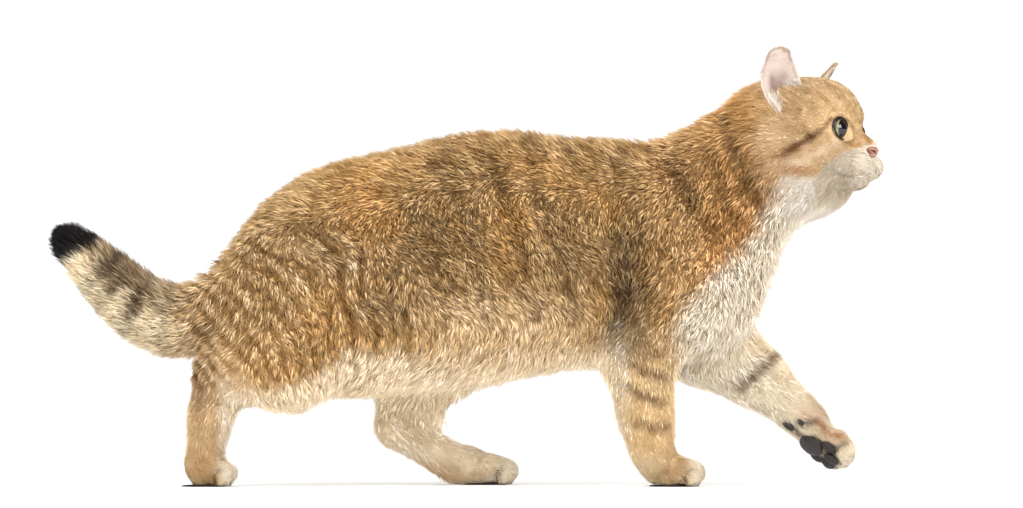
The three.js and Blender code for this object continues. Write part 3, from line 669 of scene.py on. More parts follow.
def face_shape(d, q):
    """A field near the head with the bridge's dip, the lids' hollows and openings, the mouth's groove, the
    philtrum and the jaw's crease."""
    d = d + STOP[2] * bump(q[:, 2], *STOP[:2]) * step(q[:, 0], 44, 52) * (1 - step(q[:, 1], 12, 20))
    d = blend(d, rounded(q, *LIP_FRONT[:2]), LIP_FRONT[2])
    e, wide = lid_place(q)
    hollow = np.maximum((wide - 1.12) * OPEN_TALL, np.maximum(LID_RADIUS - 0.2 - norm(e), -e[:, 0]))
    d = carve(d, hollow, 4)
    d = carve(d, lid_opening(q), 1.2)
    d = carve(d, line_distance(q, MOUTH_ON[:4], 0.6), 2.0)
    d = carve(d, line_distance(q, EAR_HOLLOW, HOLLOW_HALF), 4)
    d = carve(d, line_distance(q, JAW_CREASE, 0.2), 4)
    return carve(d, line_distance(q, PHILTRUM, 0.5), 1.2)


def face_field(p):
    """The outline near the head with the face's fine shape."""
    return face_shape(head_field(p), mirrored(into_head(p)))


CLEFT_DEEP, CLEFT_HALF = 3.0, 0.5
TOE_GAPS = (-8.4, 0.0, 8.4)


def foot_shape(d, q, leg):
    """A field near a foot with the clefts between its toes: thin upright slots, CLEFT_DEEP under the surface."""
    start = leg["paw"]["reach"] - KNUCKLE + 5
    for gap in TOE_GAPS:
        slot = np.maximum(np.abs(q[:, 1] - gap) - CLEFT_HALF, np.maximum(-CLEFT_DEEP - d, start - q[:, 0]))
        d = carve(d, slot, 2.2)
    flat = q * np.array([1, 0, 1])
    crease = line_distance(flat, [(x, 0, z) for x, z in toe_crease(leg)], 0.3)
    return carve(d, np.maximum(crease, np.maximum(q[:, 1] + 8, -2.2 - d)), 2)


def toe_crease(leg):
    """The fold behind the outermost toe, on the paw's right side: from the sole up and forwards."""
    reach, sole = leg["paw"]["reach"], leg["paw"]["height"] - leg["paw"]["toe"]
    return [(reach - 12, sole + 1), (reach - 12.5, sole + 7), (reach - 10, sole + 13), (reach - 6, sole + 16)]


def foot_field(leg):
    """The outline near one leg with its toes parted."""
    return lambda p: foot_shape(leg_field(leg)(p), into_paw(p, leg), leg)


HEAD_REACH = 110  # how far from the skull's middle the face's fine shape counts


def closed(p):
    """The closed coat's outline with the fine shape of face and feet."""
    d = body(p)
    near = norm(p - HEAD_AT) < HEAD_REACH
    d[near] = face_shape(d[near], mirrored(into_head(p[near])))
    for leg in LEGS.values():
        near = norm(p - leg["at"]) < 75
        d[near] = foot_shape(d[near], into_paw(p[near], leg), leg)
    return d


FACE_RINGS = (26, 0, 118)
face = shell(face_field, HEAD_CORE, FACE_RINGS, 240, 110, across=HEAD_AXES[1], turned=np.radians(32), crowd=1.2)
feet = {}
for name, leg in LEGS.items():
    feet[name] = shell(foot_field(leg), from_paw(leg["core"], leg), (9, 16, 34), 84, 60, across=leg["frame"][1])


def fan_angle(p):
    """Angle at the middle of the head between the muzzle's way and each point."""
    q = into_head(p) - np.array([0, 0, -8])
    return np.degrees(np.arccos(np.clip(q[:, 0] / np.maximum(norm(q), 1e-6), -1, 1)))


FACE_EDGE = 108  # degrees from the muzzle's way where the fine face gives over to the rest of the skin


def in_face(p):
    """True where the fine face stands for the outline."""
    return (fan_angle(p) < FACE_EDGE) & (head(p) < 13) & (norm(p - HEAD_AT) < 120)


def in_foot(p, leg):
    """True where a fine foot stands for the outline: past the ankle's plane."""
    at, way = leg["ankle"]
    return ((p - np.asarray(at, float)) @ unit(way) > 0) & (norm(p - leg["at"]) < 80) & (limb(p, leg) < 13)


# ------------------------------------------------------------------ where a place on the cat lies
KINDS = ("trunk", "tail", "head", "upper", "lower", "paw")
REGIONS = [*KINDS[:3]] + [f"{n}_{k}" for n in LEGS for k in KINDS[3:]]
KIND_OF = [region.split("_")[-1] for region in REGIONS]
MIX_SOFT = 6.0


def limb_place(p, leg):
    """Distances to a leg's upper lengths, lower lengths and paw, the place along it, its run and the offset there."""
    bars = [along_length(p, b[0], b[1]) for b in leg["lengths"]]
    far = [length(p, *b[:4]) for b in leg["lengths"]]
    best = np.argmin(far, axis=0)
    rows = np.arange(len(p))
    at = best + np.array([b[0] for b in bars])[best, rows]
    off = np.array([b[1] for b in bars])[best, rows]
    runs = np.array([unit(np.subtract(b[1], b[0])) for b in leg["lengths"]])
    return np.minimum(far[0], far[1]) + 5, np.minimum(far[2], far[3]), paw(p, leg), at, runs[best], off


def tail_place(p):
    """Place along the tail counted in its stations, the run there and the offset from its middle line."""
    line = TAIL[:, [0, 0, 1]] * (1, 0, 1)
    bars = [along_length(p, a, b) for a, b in zip(line[:-1], line[1:])]
    best = np.argmin([norm(off) for _, off in bars], axis=0)
    rows = np.arange(len(p))
    runs = unit(np.diff(line, axis=0))
    return best + np.array([t for t, _ in bars])[best, rows], runs[best], np.array([o for _, o in bars])[best, rows]


def survey(p):
    """Everything that depth, lie and markings need to know of some places: their share of each region and their
    place within it. Shares are exp(-distance / MIX_SOFT), scaled to add up to one."""
    spot = {"p": p, "trunk": trunk_place(p), "tail": tail_place(p), "q": mirrored(into_head(p)), "limbs": {}}
    far = [trunk(p, spot["trunk"]), tail(p), head(p)]
    for name, leg in LEGS.items():
        upper, lower, foot, at, run, off = limb_place(p, leg)
        spot["limbs"][name] = {"at": at, "run": run, "off": off}
        far += [upper, lower, foot]
    far = np.array(far)
    share = np.exp(-(far - far.min(0)) / MIX_SOFT)
    share /= share.sum(0)
    spot["share"] = dict(zip(REGIONS, share))
    spot["region"] = share.argmax(0)
    return spot


def lower_share(spot):
    """Share of all lower legs, and of all paws."""
    return sum(spot["share"][f"{n}_lower"] for n in LEGS), sum(spot["share"][f"{n}_paw"] for n in LEGS)


EAR_FOOT = np.array([(14, 22, 38), (12, 34, 36), (4, 45, 26), (-9, 50, 15)], float)  # where the ear leaves the head


def coat_depth(spot):
    """How far the skin lies under the closed coat: deep on the body and thin on the face and feet."""
    q = spot["q"]
    snout = norm(q - np.array([69, 0, -22]))
    eye = norm(q - EYE_AT)
    face_depth = np.clip(0.4 + 0.035 * np.maximum(snout - 8, 0), 0.4, 2.2)
    back = step(fan_angle(spot["p"]), 85, 125) + step(-q[:, 2], 45, 75)
    face_depth += 6.5 * np.clip(back, 0, 1)
    face_depth += 3.2 * beside(q, EAR_FOOT, 8)
    face_depth = np.minimum(face_depth, 0.3 + 0.12 * np.maximum(eye - 13.5, 0))
    face_depth = np.minimum(face_depth, 0.25 + 0.3 * line_distance(q, MOUTH_ON))
    lower, foot = lower_share(spot)
    share = spot["share"]
    upper = 1 - share["trunk"] - share["tail"] - share["head"] - lower - foot
    long_coat = share["trunk"] * 12.5 + upper * 10.5 + share["tail"] * 11.5
    return long_coat + share["head"] * face_depth + lower * 5.4 + foot * 1.9


UPPER_WAY = {"fore": -0.3, "hind": 0.5}  # how far the hairs of a limb's upper length lie forwards


def lie(spot, normals):
    """Which way the hairs lie: back along the trunk and a little down, down the legs, out along the tail and back
    from the nose on the head. The ways are mixed by region and laid on the surface."""
    p, share, k = spot["p"], spot["share"], spot["trunk"]
    run = np.stack([k["run"][:, 0], np.zeros(len(p)), k["run"][:, 1]], -1)
    down = np.array([0.0, 0, -1])
    flank, under = step(-k["high"], -0.78, -0.25), step(-k["high"], 0.35, 0.75)
    ahead = -1 + flank * (1.55 - 1.15 * step(p[:, 0], 105, 190)) * (1 - 0.8 * under)
    way = share["trunk"][:, None] * unit(run * ahead[:, None] + down * (0.1 + 0.95 * flank)[:, None])
    way += share["tail"][:, None] * spot["tail"][1]
    from_nose = spot["q"] - np.array([74, 0, -14])
    from_nose[:, 2] -= 14 * step(-spot["q"][:, 2], 20, 60)
    from_nose[:, 1] *= np.sign(into_head(p)[:, 1])
    way += share["head"][:, None] * unit(unit(from_nose) @ HEAD_AXES)
    for name, leg in LEGS.items():
        here = spot["limbs"][name]["run"]
        way += share[f"{name}_upper"][:, None] * unit(unit(here) * 0.4 + down * 0.6 + run * UPPER_WAY[name[-4:]])
        way += share[f"{name}_lower"][:, None] * here
        way += share[f"{name}_paw"][:, None] * unit(leg["frame"][0] - 0.35 * leg["frame"][2])
    way -= normals * dot(way, normals)[:, None]
    return unit(way)


# ------------------------------------------------------------------ markings
TONES = {tone: linear(*shown) for tone, shown in {
    "saddle": (184, 150, 102), "ash": (150, 124, 88), "gold": (202, 158, 100),
    "low_gold": (228, 200, 158), "belly": (240, 222, 192), "thigh": (190, 158, 112),
    "thigh_low": (198, 160, 108), "shadow": (104, 74, 38), "patch": (90, 68, 44),
    "shoulder": (190, 154, 106), "red": (150, 98, 50), "chest": (226, 214, 195),
    "neck": (196, 152, 98), "throat": (240, 232, 220), "foreleg": (243, 214, 166),
    "leg_bar": (116, 70, 26), "cream": (250, 238, 216), "cheek": (244, 219, 180),
    "cheek_pale": (238, 214, 182), "brow": (215, 182, 136), "brow_pale": (226, 196, 156),
    "stripe": (108, 62, 22), "muzzle": (212, 198, 178), "mouth": (112, 80, 60),
    "tail_top": (144, 122, 94), "tail_under": (214, 198, 168), "tail_root": (188, 160, 120),
    "tip": (24, 19, 20), "ring": (70, 52, 36), "hind": (224, 194, 150),
    "foot": (206, 176, 130), "sole": (52, 36, 30), "orange": (190, 132, 72),
    # The next tone is the far hind leg's cream, lightened further as painted light against the shade there.
    "cream_painted_light": (255, 240, 214), "rim": (50, 34, 24), "canthus": (150, 104, 88), "bridge": (150, 100, 52),
    # The next tone is painted shade for the clefts between the toes and the crease behind the outer toe.
    "cleft_shade": (96, 70, 50),
}.items()}
STRAND = np.array([0.42, 0.54, 0.78])  # how far light and dark hairs part in red, green and blue, as exponents


def paint(colour, tone, mask):
    """A tone laid over a colour by a mask from 0 to 1."""
    return colour + (TONES[tone] - colour) * np.clip(mask, 0, 1)[:, None]


def plain(tone, count):
    """One tone for each of a count of places."""
    return np.repeat(TONES[tone][None], count, 0)


def stroke(x, z, line, half):
    """A soft band along a line of places in a side view: 1 on it, falling on a bell curve of the distance."""
    flat = np.stack([x, np.zeros_like(x), z], -1)
    line = [(a, 0, b) for a, b in line]
    return beside(flat, line, half)


NECK_BANDS = [  # places x, z along each band, its half width and its strength
    ([(230, 324), (240, 283), (255, 252), (268, 236)], 5.67, 1), ([(181, 288), (199, 250)], 8.1, 0.75),
    ([(214, 300), (226, 262), (238, 236)], 4.725, 0.6875), ([(252, 310), (258, 280), (268, 258)], 4.05, 0.625),
    ([(143, 290), (146, 250), (150, 228)], 9.45, 0.4375), ([(196, 268), (206, 240), (222, 222)], 5.4, 0.5),
]
RED_PLACES = [((176, 282), (9, 13), 0.55), ((190, 262), (7, 9), 0.5), ((240, 219), (10, 6), 0.6),
              ((222, 232), (8, 8), 0.4)]
ASH_PLACES = [((-77, 155), (24, 20), 0.9), ((-88, 195), (36, 28), 0.6), ((-127, 229), (15, 10), 0.65),
              ((-152, 210), (14, 8), 0.6), ((-30, 230), (40, 22), 0.3), ((-180, 190), (14, 10), 0.4)]
CHEST_EDGE = np.array([(60, 205), (93, 194), (125, 184), (143, 185), (160, 197), (183, 214), (205, 237), (230, 262),
                       (249, 269), (262, 285)], float)  # z, x
BELLY_EDGE = np.array([(-216, 40), (-206, 80), (-145, 88), (-118, 102), (-101, 116), (-57, 117), (-13, 110), (31, 109),
                       (75, 115), (125, 120), (170, 108)], float)  # x, z
BELLY_SOFT = np.array([(-145, 7), (-101, 9), (-57, 10), (-13, 20), (75, 20), (125, 10)], float)  # x, half the change


def places(x, z, colour, tone, spots, fine):
    """A tone laid on at bell-shaped places, each ((x, z), (half length, half height), strength)."""
    for (a, b), (c, d), strength in spots:
        near = np.exp(-(((x - a) / c) ** 2) - ((z - b) / d) ** 2)
        colour = paint(colour, tone, strength * near * (0.85 + 0.5 * fine))
    return colour


def trunk_colour(spot):
    """Golden saddle with ashen places, cream belly and chest, a dark patch behind the shoulder and neck bands."""
    p, k = spot["p"], spot["trunk"]
    x, z, high = p[:, 0], p[:, 2], k["high"]
    wave, fine, wide = noise(p, 26, 1), noise(p, 9, 2), noise(p, 40, 8)
    streak = noise(p * (1, 0.6, 0.3), 6, 13)
    colour = plain("saddle", len(p))
    colour = paint(colour, "gold", 0.7 * step(wide + 0.4 * wave, -0.1, 0.6))
    colour = paint(colour, "ash", 0.45 * step(-wide + 0.4 * fine, 0.0, 0.7) + 0.35 * step(high, 0.75, 1.0))
    colour = places(x, z, colour, "ash", ASH_PLACES, fine)
    colour = paint(colour, "ash", 0.85 * step(-x, 120, 190) * step(z, 170, 215))
    low_gold = step(x, -60, -10) * (1 - step(x, 100, 120)) * step(-z, -185, -135)
    colour = paint(colour, "low_gold", low_gold * (0.75 + 0.35 * streak))
    colour = paint(colour, "thigh", step(-x, 110, 160) * 0.7)
    colour = paint(colour, "thigh_low", step(-x, 100, 150) * step(-z, -130, -100))
    bands = np.sin((x + 9 * wave + 0.2 * z) * 2 * np.pi / 38) * 0.5 + 0.5
    inside = step(x, -60, -20) * (1 - step(x, 95, 112)) * step(z, 120, 160)
    colour = paint(colour, "shadow", 0.6 * bands**2 * inside * (0.7 + 0.6 * fine))
    colour = paint(colour, "shoulder", step(x, 150, 175))
    edge = 122 + 2.5 * wave + 2 * streak
    patch = step(x, edge - 2, edge + 4) * (1 - step(x, 146, 184)) * (1 - step(z, 205, 246)) * step(z, 98, 118)
    colour = paint(colour, "patch", patch * np.clip(0.8 + 0.4 * fine, 0, 1) * (0.62 + 0.38 * bump(x, 138, 16)))
    colour = paint(colour, "neck", step(x, 195, 225))
    colour = places(x, z, colour, "red", RED_PLACES, fine)
    for line, half, strength in NECK_BANDS:
        band = stroke(x + 4 * fine, z, line, half)
        colour = paint(colour, "shadow", strength * band * (0.85 + 0.5 * fine))
    low = np.interp(x, BELLY_EDGE[:, 0], BELLY_EDGE[:, 1]) + 7 * streak + 3 * fine
    soft = np.interp(x, BELLY_SOFT[:, 0], BELLY_SOFT[:, 1])
    under = np.maximum(step((low - z) / soft, -1, 1), step(z, 130, 95) * step(-np.abs(p[:, 1]), -34, -16))
    colour = paint(colour, "belly", under * (1 - patch * step(z, 100, 112)))
    front = np.interp(z, CHEST_EDGE[:, 0], CHEST_EDGE[:, 1]) + 6 * fine + 3 * streak
    inner = (1 - step(np.abs(p[:, 1]), 22, 38)) * step(x, 150, 190) * step(-high, 0.3, 0.7)
    colour = paint(colour, "orange", 0.2 * bump(x - front, -8, 9) * step(z, 150, 190))
    return paint(colour, "chest", np.maximum(step(x, front - 14, front + 14), inner))


TAIL_RINGS = (  # place along the tail, half width, strength on top and how far down the side it reaches
    (2.6, 0.2, 0.6, -0.2), (4.0, 0.24, 0.95, -0.9), (5.05, 0.2, 0.75, -0.6), (5.75, 0.26, 1.0, -0.2),
)


def tail_colour(spot):
    """A black tip, dark part rings on top, browner above and soft cream below."""
    at, run, off = spot["tail"]
    over = dot(off, np.cross(run, np.array([0.0, 1, 0])) * -1) / 28
    wave, fine = noise(spot["p"], 16, 3), noise(spot["p"], 6, 4)
    colour = plain("tail_under", len(at))
    colour = paint(colour, "tail_top", step(over + 0.15 * fine, -0.3, 0.5) * (0.5 + 0.5 * step(at, 2.6, 4.2)))
    colour = paint(colour, "tail_root", 1 - step(at, 1.2, 3.2))
    for middle, half, strength, reach in TAIL_RINGS:
        ring = bump(at + 0.1 * wave + 0.08 * fine, middle, half) * strength
        colour = paint(colour, "ring", ring * (0.35 + 0.65 * step(over, reach, reach + 0.7)))
    return paint(colour, "tip", step(at + 0.12 * wave + 0.3 * over, 6.75, 7.1))


FORE_BARS = [
    ([(133, 121), (156, 115), (178, 121)], 3.4, 0.7), ([(131, 111), (154, 103), (179, 98)], 4.2, 0.95),
    ([(132, 92), (153, 82), (176, 77)], 3.6, 0.9), ([(148, 57), (162, 53), (178, 56)], 4.2, 0.65),
    ([(148, 40), (166, 36)], 3.0, 0.3),
]


def fore_colour(spot, name):
    """Pale orange with darker bars; the lifted one creamier, with one slanting bar and a golden back."""
    p = spot["p"]
    here = spot["limbs"][name]
    wave, fine = noise(p, 12, 5), noise(p, 5, 6)
    x, z = p[:, 0] + 3 * wave, p[:, 2] + 2.2 * wave
    if name == "right_fore":
        colour = plain("foreleg", len(p))
        colour = paint(colour, "shadow", 0.6 * step(z, 104, 130) * (1 - step(x, 150, 176)))
        for line, half, strength in FORE_BARS:
            colour = paint(colour, "leg_bar", strength * stroke(x, z, line, half) * (0.85 + 0.4 * fine))
        pale = 0.6 * step(-z, -38, -14) + 0.6 * step(-x, -146, -134) + 0.5 * step(p[:, 1], -36, -26)
        return paint(colour, "cream", pale)
    colour = plain("cream", len(p))
    colour = paint(colour, "foreleg", 0.3 * step(here["off"][:, 2], 4, 16) * step(here["at"], 2.6, 3.2))
    colour = paint(colour, "foreleg", 0.7 * bump(x, 252, 16) * bump(z, 132, 12))
    colour = paint(colour, "leg_bar", 0.9 * stroke(x, z, [(272, 117), (256, 102), (240, 87)], 4.6) * (0.9 + 0.4 * fine))
    return paint(colour, "orange", 0.35 * step(here["at"], 3.6, 4) * step(here["off"][:, 2], 0, 10))


def hind_colour(spot, name):
    """Golden behind and cream in front, with a dark place over the hock. The far leg's inner side above the paw is
    cream, lightened further as painted light against the shade there.
    """
    p = spot["p"]
    fine = noise(p, 6, 14)
    x, z = p[:, 0], p[:, 2]
    colour = plain("hind", len(p))
    if name == "right_hind":
        colour = paint(colour, "shadow", 0.5 * step(z, 62, 100) * (1 - step(x + 3 * fine, -226, -206)))
        bar = stroke(x, z, [(-233, 104), (-229, 84), (-227, 70)], 5.5)
        colour = paint(colour, "leg_bar", 0.6 * bar * (0.9 + 0.4 * fine))
        return paint(colour, "cream", 0.85 * step(x + 3 * fine, -216, -206) * step(-z, -108, -80))
    bar = stroke(x, z, [(-80, 66), (-62, 52), (-34, 28), (-10, 18)], 5)
    colour = paint(colour, "leg_bar", 0.55 * bar * (0.9 + 0.5 * fine))
    colour = paint(colour, "shadow", 0.4 * stroke(x, z, [(-76, 74), (-50, 78), (-20, 66)], 4) * (0.8 + 0.5 * fine))
    # Painted light: the far leg's inner side above the paw is lightened past its own cream, against the shade there.
    return paint(colour, "cream_painted_light", 0.85 * step(-p[:, 1], -60, -40) * step(z, 8, 30))


def pads_of(leg, lifted):
    """Middle and half sizes of each bare pad in the paw's frame: four toe pads, the main pad, and the lifted
    paw's wrist pads."""
    reach, sole = leg["paw"]["reach"], leg["paw"]["height"] - leg["paw"]["toe"]
    pads = [((reach - 9 + 2.8 * more, y, sole + 0.8 - 0.9 * more), (7.4, 4.9, 3.4))
            for y, more in zip(TOE_SPREAD, TOE_REACH)]
    pads.append(((reach - 30, 0, sole + 1.6), (12, 12.5, 3.6)))
    if not lifted:  # low enough to hide under the fur
        return [((x, 0.8 * y, sole + 0.2), (0.9 * half[0], 0.85 * half[1], 1.3)) for (x, y, _), half in pads]
    pads = [((x, y, z - 2.0), half) for (x, y, z), half in pads]
    return pads + [((-11, -3.5, -15.2), (6, 3.2, 2.0)), ((-5, -14, -10), (3.6, 1.8, 2.2))]


for name, leg in LEGS.items():
    leg["pads"] = pads_of(leg, name == "left_fore")


PALM_STROKES = [  # dark hair round the lifted paw's pads: places and half width
    (np.array([(-9, -11.5, -13), (-3, -17, -8), (2, -19.6, -2)], float), 2.0),
    (np.array([(21, -10.5, -12), (31.5, -14, -9.5), (37, -20, -1)], float), 1.6),
    (np.array([(-15, -4.6, -16), (-5, -2, -16.5), (4, -6, -15)], float), 2.2),
]


BACK_STROKE = np.array([(-8, -15, -4), (4, -19, 0), (18, -19, -1), (28, -19, 2)], float)  # gold along the lifted paw


def foot_colour(spot, name):
    """Golden on the instep, paler toes with painted shade in the clefts and along the crease behind the outer toe, and
    dark fur at the edge of the sole.
    """
    leg = LEGS[name]
    q = into_paw(spot["p"], leg)
    reach = leg["paw"]["reach"]
    sole = leg["paw"]["height"] - leg["paw"]["toe"]
    colour = plain("foot", len(q))
    colour = paint(colour, "orange", 0.4 * bump(q[:, 0], reach - 24, 9) * step(q[:, 2], sole + 5, sole + 14))
    colour = paint(colour, "cream", 0.8 * step(q[:, 0], reach - 14, reach + 1))
    # Painted shade in the clefts between the toes.
    for gap in TOE_GAPS:
        gap_shade = bump(q[:, 1], gap, 1.1) * bump(q[:, 0], reach - 4, 5)
        colour = paint(colour, "cleft_shade", 0.6 * gap_shade * step(q[:, 2], sole + 7, sole + 11))
    # The far hind foot is blended towards cream: partly its own pale colour, partly painted light against the shade it
    # stands in.
    if name == "left_hind":
        colour = colour + (TONES["cream"] - colour) * 0.7
    if name == "left_fore":
        colour = paint(colour, "cream", 0.55 + 0.3 * step(q[:, 0], reach - 6, reach))
        return paint(colour, "orange", 0.15 * bump(q[:, 0], 14, 15) * bump(q[:, 2], -2, 7) * step(-q[:, 1], 6, 12))
    # Painted shade along the crease behind the outer toe, on the paw's right side.
    outer = step(-q[:, 1], 4, 9)
    colour = paint(colour, "cleft_shade", outer * stroke(q[:, 0], q[:, 2], toe_crease(leg), 1.2))
    colour = paint(colour, "cream", 0.5 * bump(q[:, 0], reach - 3, 6) * outer)
    return paint(colour, "sole", 0.8 * step(-q[:, 2], -sole - 2.4, -sole - 0.4))


FACE_STROKES = [  # tone, places on the left half, half width and strength
    ("cheek_pale", [(46, 31, -14), (36, 44, -23), (22, 54, -31), (10, 58, -33)], 5.5, 0.9),
    ("stripe", [(43, 33, 7), (36, 42, -3.5), (26.5, 52, -13.5), (12.2, 58, -22.5)], 2.5, 0.97),
    ("stripe", [(33, 46, -7), (26.5, 52, -13.5), (14, 57.5, -21)], 3.4, 0.7),
    ("bridge", [(12.2, 58, -23.5), (-4, 60, -26), (-12, 60, -30)], 3.2, 0.5),
    ("orange", [(8, 57, -34), (21.3, 52.5, -37), (33, 43, -38)], 3.0, 0.7),
    ("orange", [(44, 30, 13), (34, 33, 30), (20, 33, 38)], 2.0, 0.35),
    ("brow_pale", [(50, 22, 15), (40, 26, 32), (26, 26, 43)], 2.6, 0.5),
    ("bridge", [(47, 13, 17), (34, 17, 39), (20, 18, 48)], 2.0, 0.5),
    ("bridge", [(51, 4, 10), (40, 5, 30), (30, 6, 42)], 1.8, 0.4),
    ("brow_pale", [(53, 8.5, 8), (55, 8, -2)], 2.4, 0.4),
    ("rim", [(47, 14, 9.5), (51, 10.5, 4), (52, 10, -3)], 1.0, 0.8),
    ("canthus", [(46, 17, -6.5), (51, 12, -9)], 1.5, 0.8), ("canthus", [(48.5, 15.5, -4), (51, 13, -6)], 3.2, 0.6),
    ("bridge", [(60, 2, -5), (66, 5, -11)], 3.4, 0.75), ("orange", [(52, 13, -12), (58, 10, -13)], 2.8, 0.7),
    ("brow_pale", [(49, 27, 12), (46, 31, 8)], 2.6, 0.5),
]
WHISKER_SPOTS = [(57, 21, -23.5), (57.3, 23.2, -27.5), (56.2, 23.5, -31), (59, 23, -33.2), (57.5, 21.8, -37.4),
                 (62, 18.5, -26), (62, 19.5, -31), (65.5, 14.5, -28.5)]
MUZZLE_FLOOR = np.array([(-24, -86), (-10, -63), (2, -44), (9.5, -39), (21.5, -43), (35, -41), (41, -30), (48, -22),
                         (55, -16), (60, -13.5), (66, -13)], float)  # x, z where gold gives over to white


def head_colour(spot):
    """Golden crown and cheeks, white muzzle and throat, a dark stripe back from the eye and faint ones over it."""
    q = spot["q"]
    wave, fine = noise(spot["p"], 13, 7), noise(spot["p"], 4, 9)
    colour = plain("brow", len(q))
    colour = paint(colour, "brow_pale", 0.55 * bump(q[:, 0], 18, 16) * step(q[:, 2], 26, 40))
    colour = paint(colour, "neck", step(-q[:, 0], 4, 30) * 0.8)
    colour = paint(colour, "cheek", 0.8 * bump(q[:, 0], -4, 13) * step(q[:, 1], 40, 54) * step(-q[:, 2], -14, -2))
    white = np.interp(q[:, 0], MUZZLE_FLOOR[:, 0], MUZZLE_FLOOR[:, 1]) + 1.5 * wave + fine
    below = step(-q[:, 2], -white - 2, -white + 3)
    colour = paint(colour, "throat", below * (1 - step(q[:, 0], 30, 44)))
    colour = paint(colour, "muzzle", below * step(q[:, 0], 28, 42))
    for tone, line, half, strength in FACE_STROKES:
        colour = paint(colour, tone, strength * beside(q, line, half) * (0.95 + 0.25 * wave + 0.15 * fine))
    for place in WHISKER_SPOTS:
        colour = paint(colour, "bridge", 0.8 * np.exp(-((norm(q - np.array(place)) / 1.0) ** 2)))
    colour = paint(colour, "cheek", 0.4 * beside(q, JAW_CREASE, 2.2))
    return paint(colour, "mouth", 0.8 * beside(q, MOUTH_ON, 1.4) * step(-q[:, 0], -62, -54))


def coat_colour(spot):
    """Mean colour of the coat at each place, mixed from the colours of the regions."""
    share = spot["share"]
    body_tone = trunk_colour(spot)
    colour = share["trunk"][:, None] * body_tone
    colour += share["tail"][:, None] * tail_colour(spot) + share["head"][:, None] * head_colour(spot)
    for name in LEGS:
        lower = fore_colour(spot, name) if "fore" in name else hind_colour(spot, name)
        if name == "left_fore":
            body_side = body_tone * 0.35 + lower * 0.65
        else:
            body_side = body_tone
        colour += share[f"{name}_upper"][:, None] * body_side
        colour += share[f"{name}_lower"][:, None] * lower
        colour += share[f"{name}_paw"][:, None] * foot_colour(spot, name)
    palm = norm(spot["p"] - LEGS["left_fore"]["at"]) < 60
    q = into_paw(spot["p"][palm], LEGS["left_fore"])
    tint = paint(colour[palm], "orange", 0.75 * beside(q, BACK_STROKE, 5))
    round_pads = np.min([rounded(q, at, half) for at, half in LEGS["left_fore"]["pads"]], 0)
    tint = paint(tint, "sole", 0.85 * (1 - step(round_pads, 0.6, 2.6)))
    for line, half in PALM_STROKES:
        tint = paint(tint, "sole", 0.92 * beside(q, line, half))
    colour[palm] = tint
    return colour


# ------------------------------------------------------------------ materials
def group(name, inputs, outputs):
    """A new shader node group with named sockets, its input node and its output node."""
    tree = bpy.data.node_groups.new(name, "ShaderNodeTree")
    for label, kind, value in inputs:
        socket = tree.interface.new_socket(label, in_out="INPUT", socket_type=kind)
        if value is not None:
            socket.default_value = value
    for label, kind in outputs:
        tree.interface.new_socket(label, in_out="OUTPUT", socket_type=kind)
    return tree, tree.nodes.new("NodeGroupInput"), tree.nodes.new("NodeGroupOutput")


def plug(tree, made, links):
    """A node's inputs given values or linked to other nodes' outputs."""
    for socket, source in links.items():
        if hasattr(source, "is_output"):
            tree.links.new(source, made.inputs[socket])
        else:
            made.inputs[socket].default_value = source
    return made


def node(tree, kind, links=None, **values):
    """A shader node with its properties set and its inputs plugged."""
    made = tree.nodes.new("ShaderNode" + kind)
    for key, value in values.items():
        setattr(made, key, value)
    return plug(tree, made, links or {})


def mottle_group():
    """Fine mottle: a colour made lighter and darker by two sizes of noise, with a height for a bump."""
    tree, inner, outer = group(
        "mottle",
        [("Colour", "NodeSocketColor", None), ("Size", "NodeSocketFloat", 400.0), ("Strength", "NodeSocketFloat", 0.2)],
        [("Colour", "NodeSocketColor"), ("Height", "NodeSocketFloat")],
    )
    place = node(tree, "TexCoord")
    near = node(tree, "TexNoise", {"Vector": place.outputs["Object"], "Scale": inner.outputs["Size"], "Detail": 3.0})
    wide = node(tree, "TexNoise", {"Vector": place.outputs["Object"], "Scale": 45.0, "Detail": 2.0})
    both = node(tree, "Math", {0: near.outputs["Fac"], 1: wide.outputs["Fac"]}, operation="ADD")
    centred = node(tree, "Math", {0: both.outputs[0], 1: 1.0}, operation="SUBTRACT")
    swing = node(tree, "Math", {0: centred.outputs[0], 1: inner.outputs["Strength"], 2: 1.0}, operation="MULTIPLY_ADD")
    shade = node(tree, "VectorMath", {0: inner.outputs["Colour"], "Scale": swing.outputs[0]}, operation="SCALE")
    tree.links.new(shade.outputs["Vector"], outer.inputs["Colour"])
    tree.links.new(near.outputs["Fac"], outer.inputs["Height"])
    return tree


MOTTLE = mottle_group()


def material(name, roughness=0.6, specular=0.35, subsurface=0.0, **fixed):
    """A Principled material with its constant values set on its own sockets; returns it, its tree and shader."""
    made = bpy.data.materials.new(name)
    made.use_nodes = True
    tree = made.node_tree
    shader = tree.nodes["Principled BSDF"]
    shader.inputs["Roughness"].default_value = roughness
    shader.inputs["Specular IOR Level"].default_value = specular
    shader.inputs["Subsurface Weight"].default_value = subsurface
    for key, value in fixed.items():
        shader.inputs[key.replace("_", " ")].default_value = value
    return made, tree, shader


def grain(tree, shader, height, roughness, strength, lift):
    """A height's effect on a shader: roughness between two values, and a bump of a strength and a height."""
    rough = node(tree, "MapRange", {"Value": height, "To Min": roughness[0], "To Max": roughness[1]})
    raised = node(tree, "Bump", {"Height": height, "Strength": strength, "Distance": lift})
    plug(tree, shader, {"Roughness": rough.outputs["Result"], "Normal": raised.outputs["Normal"]})


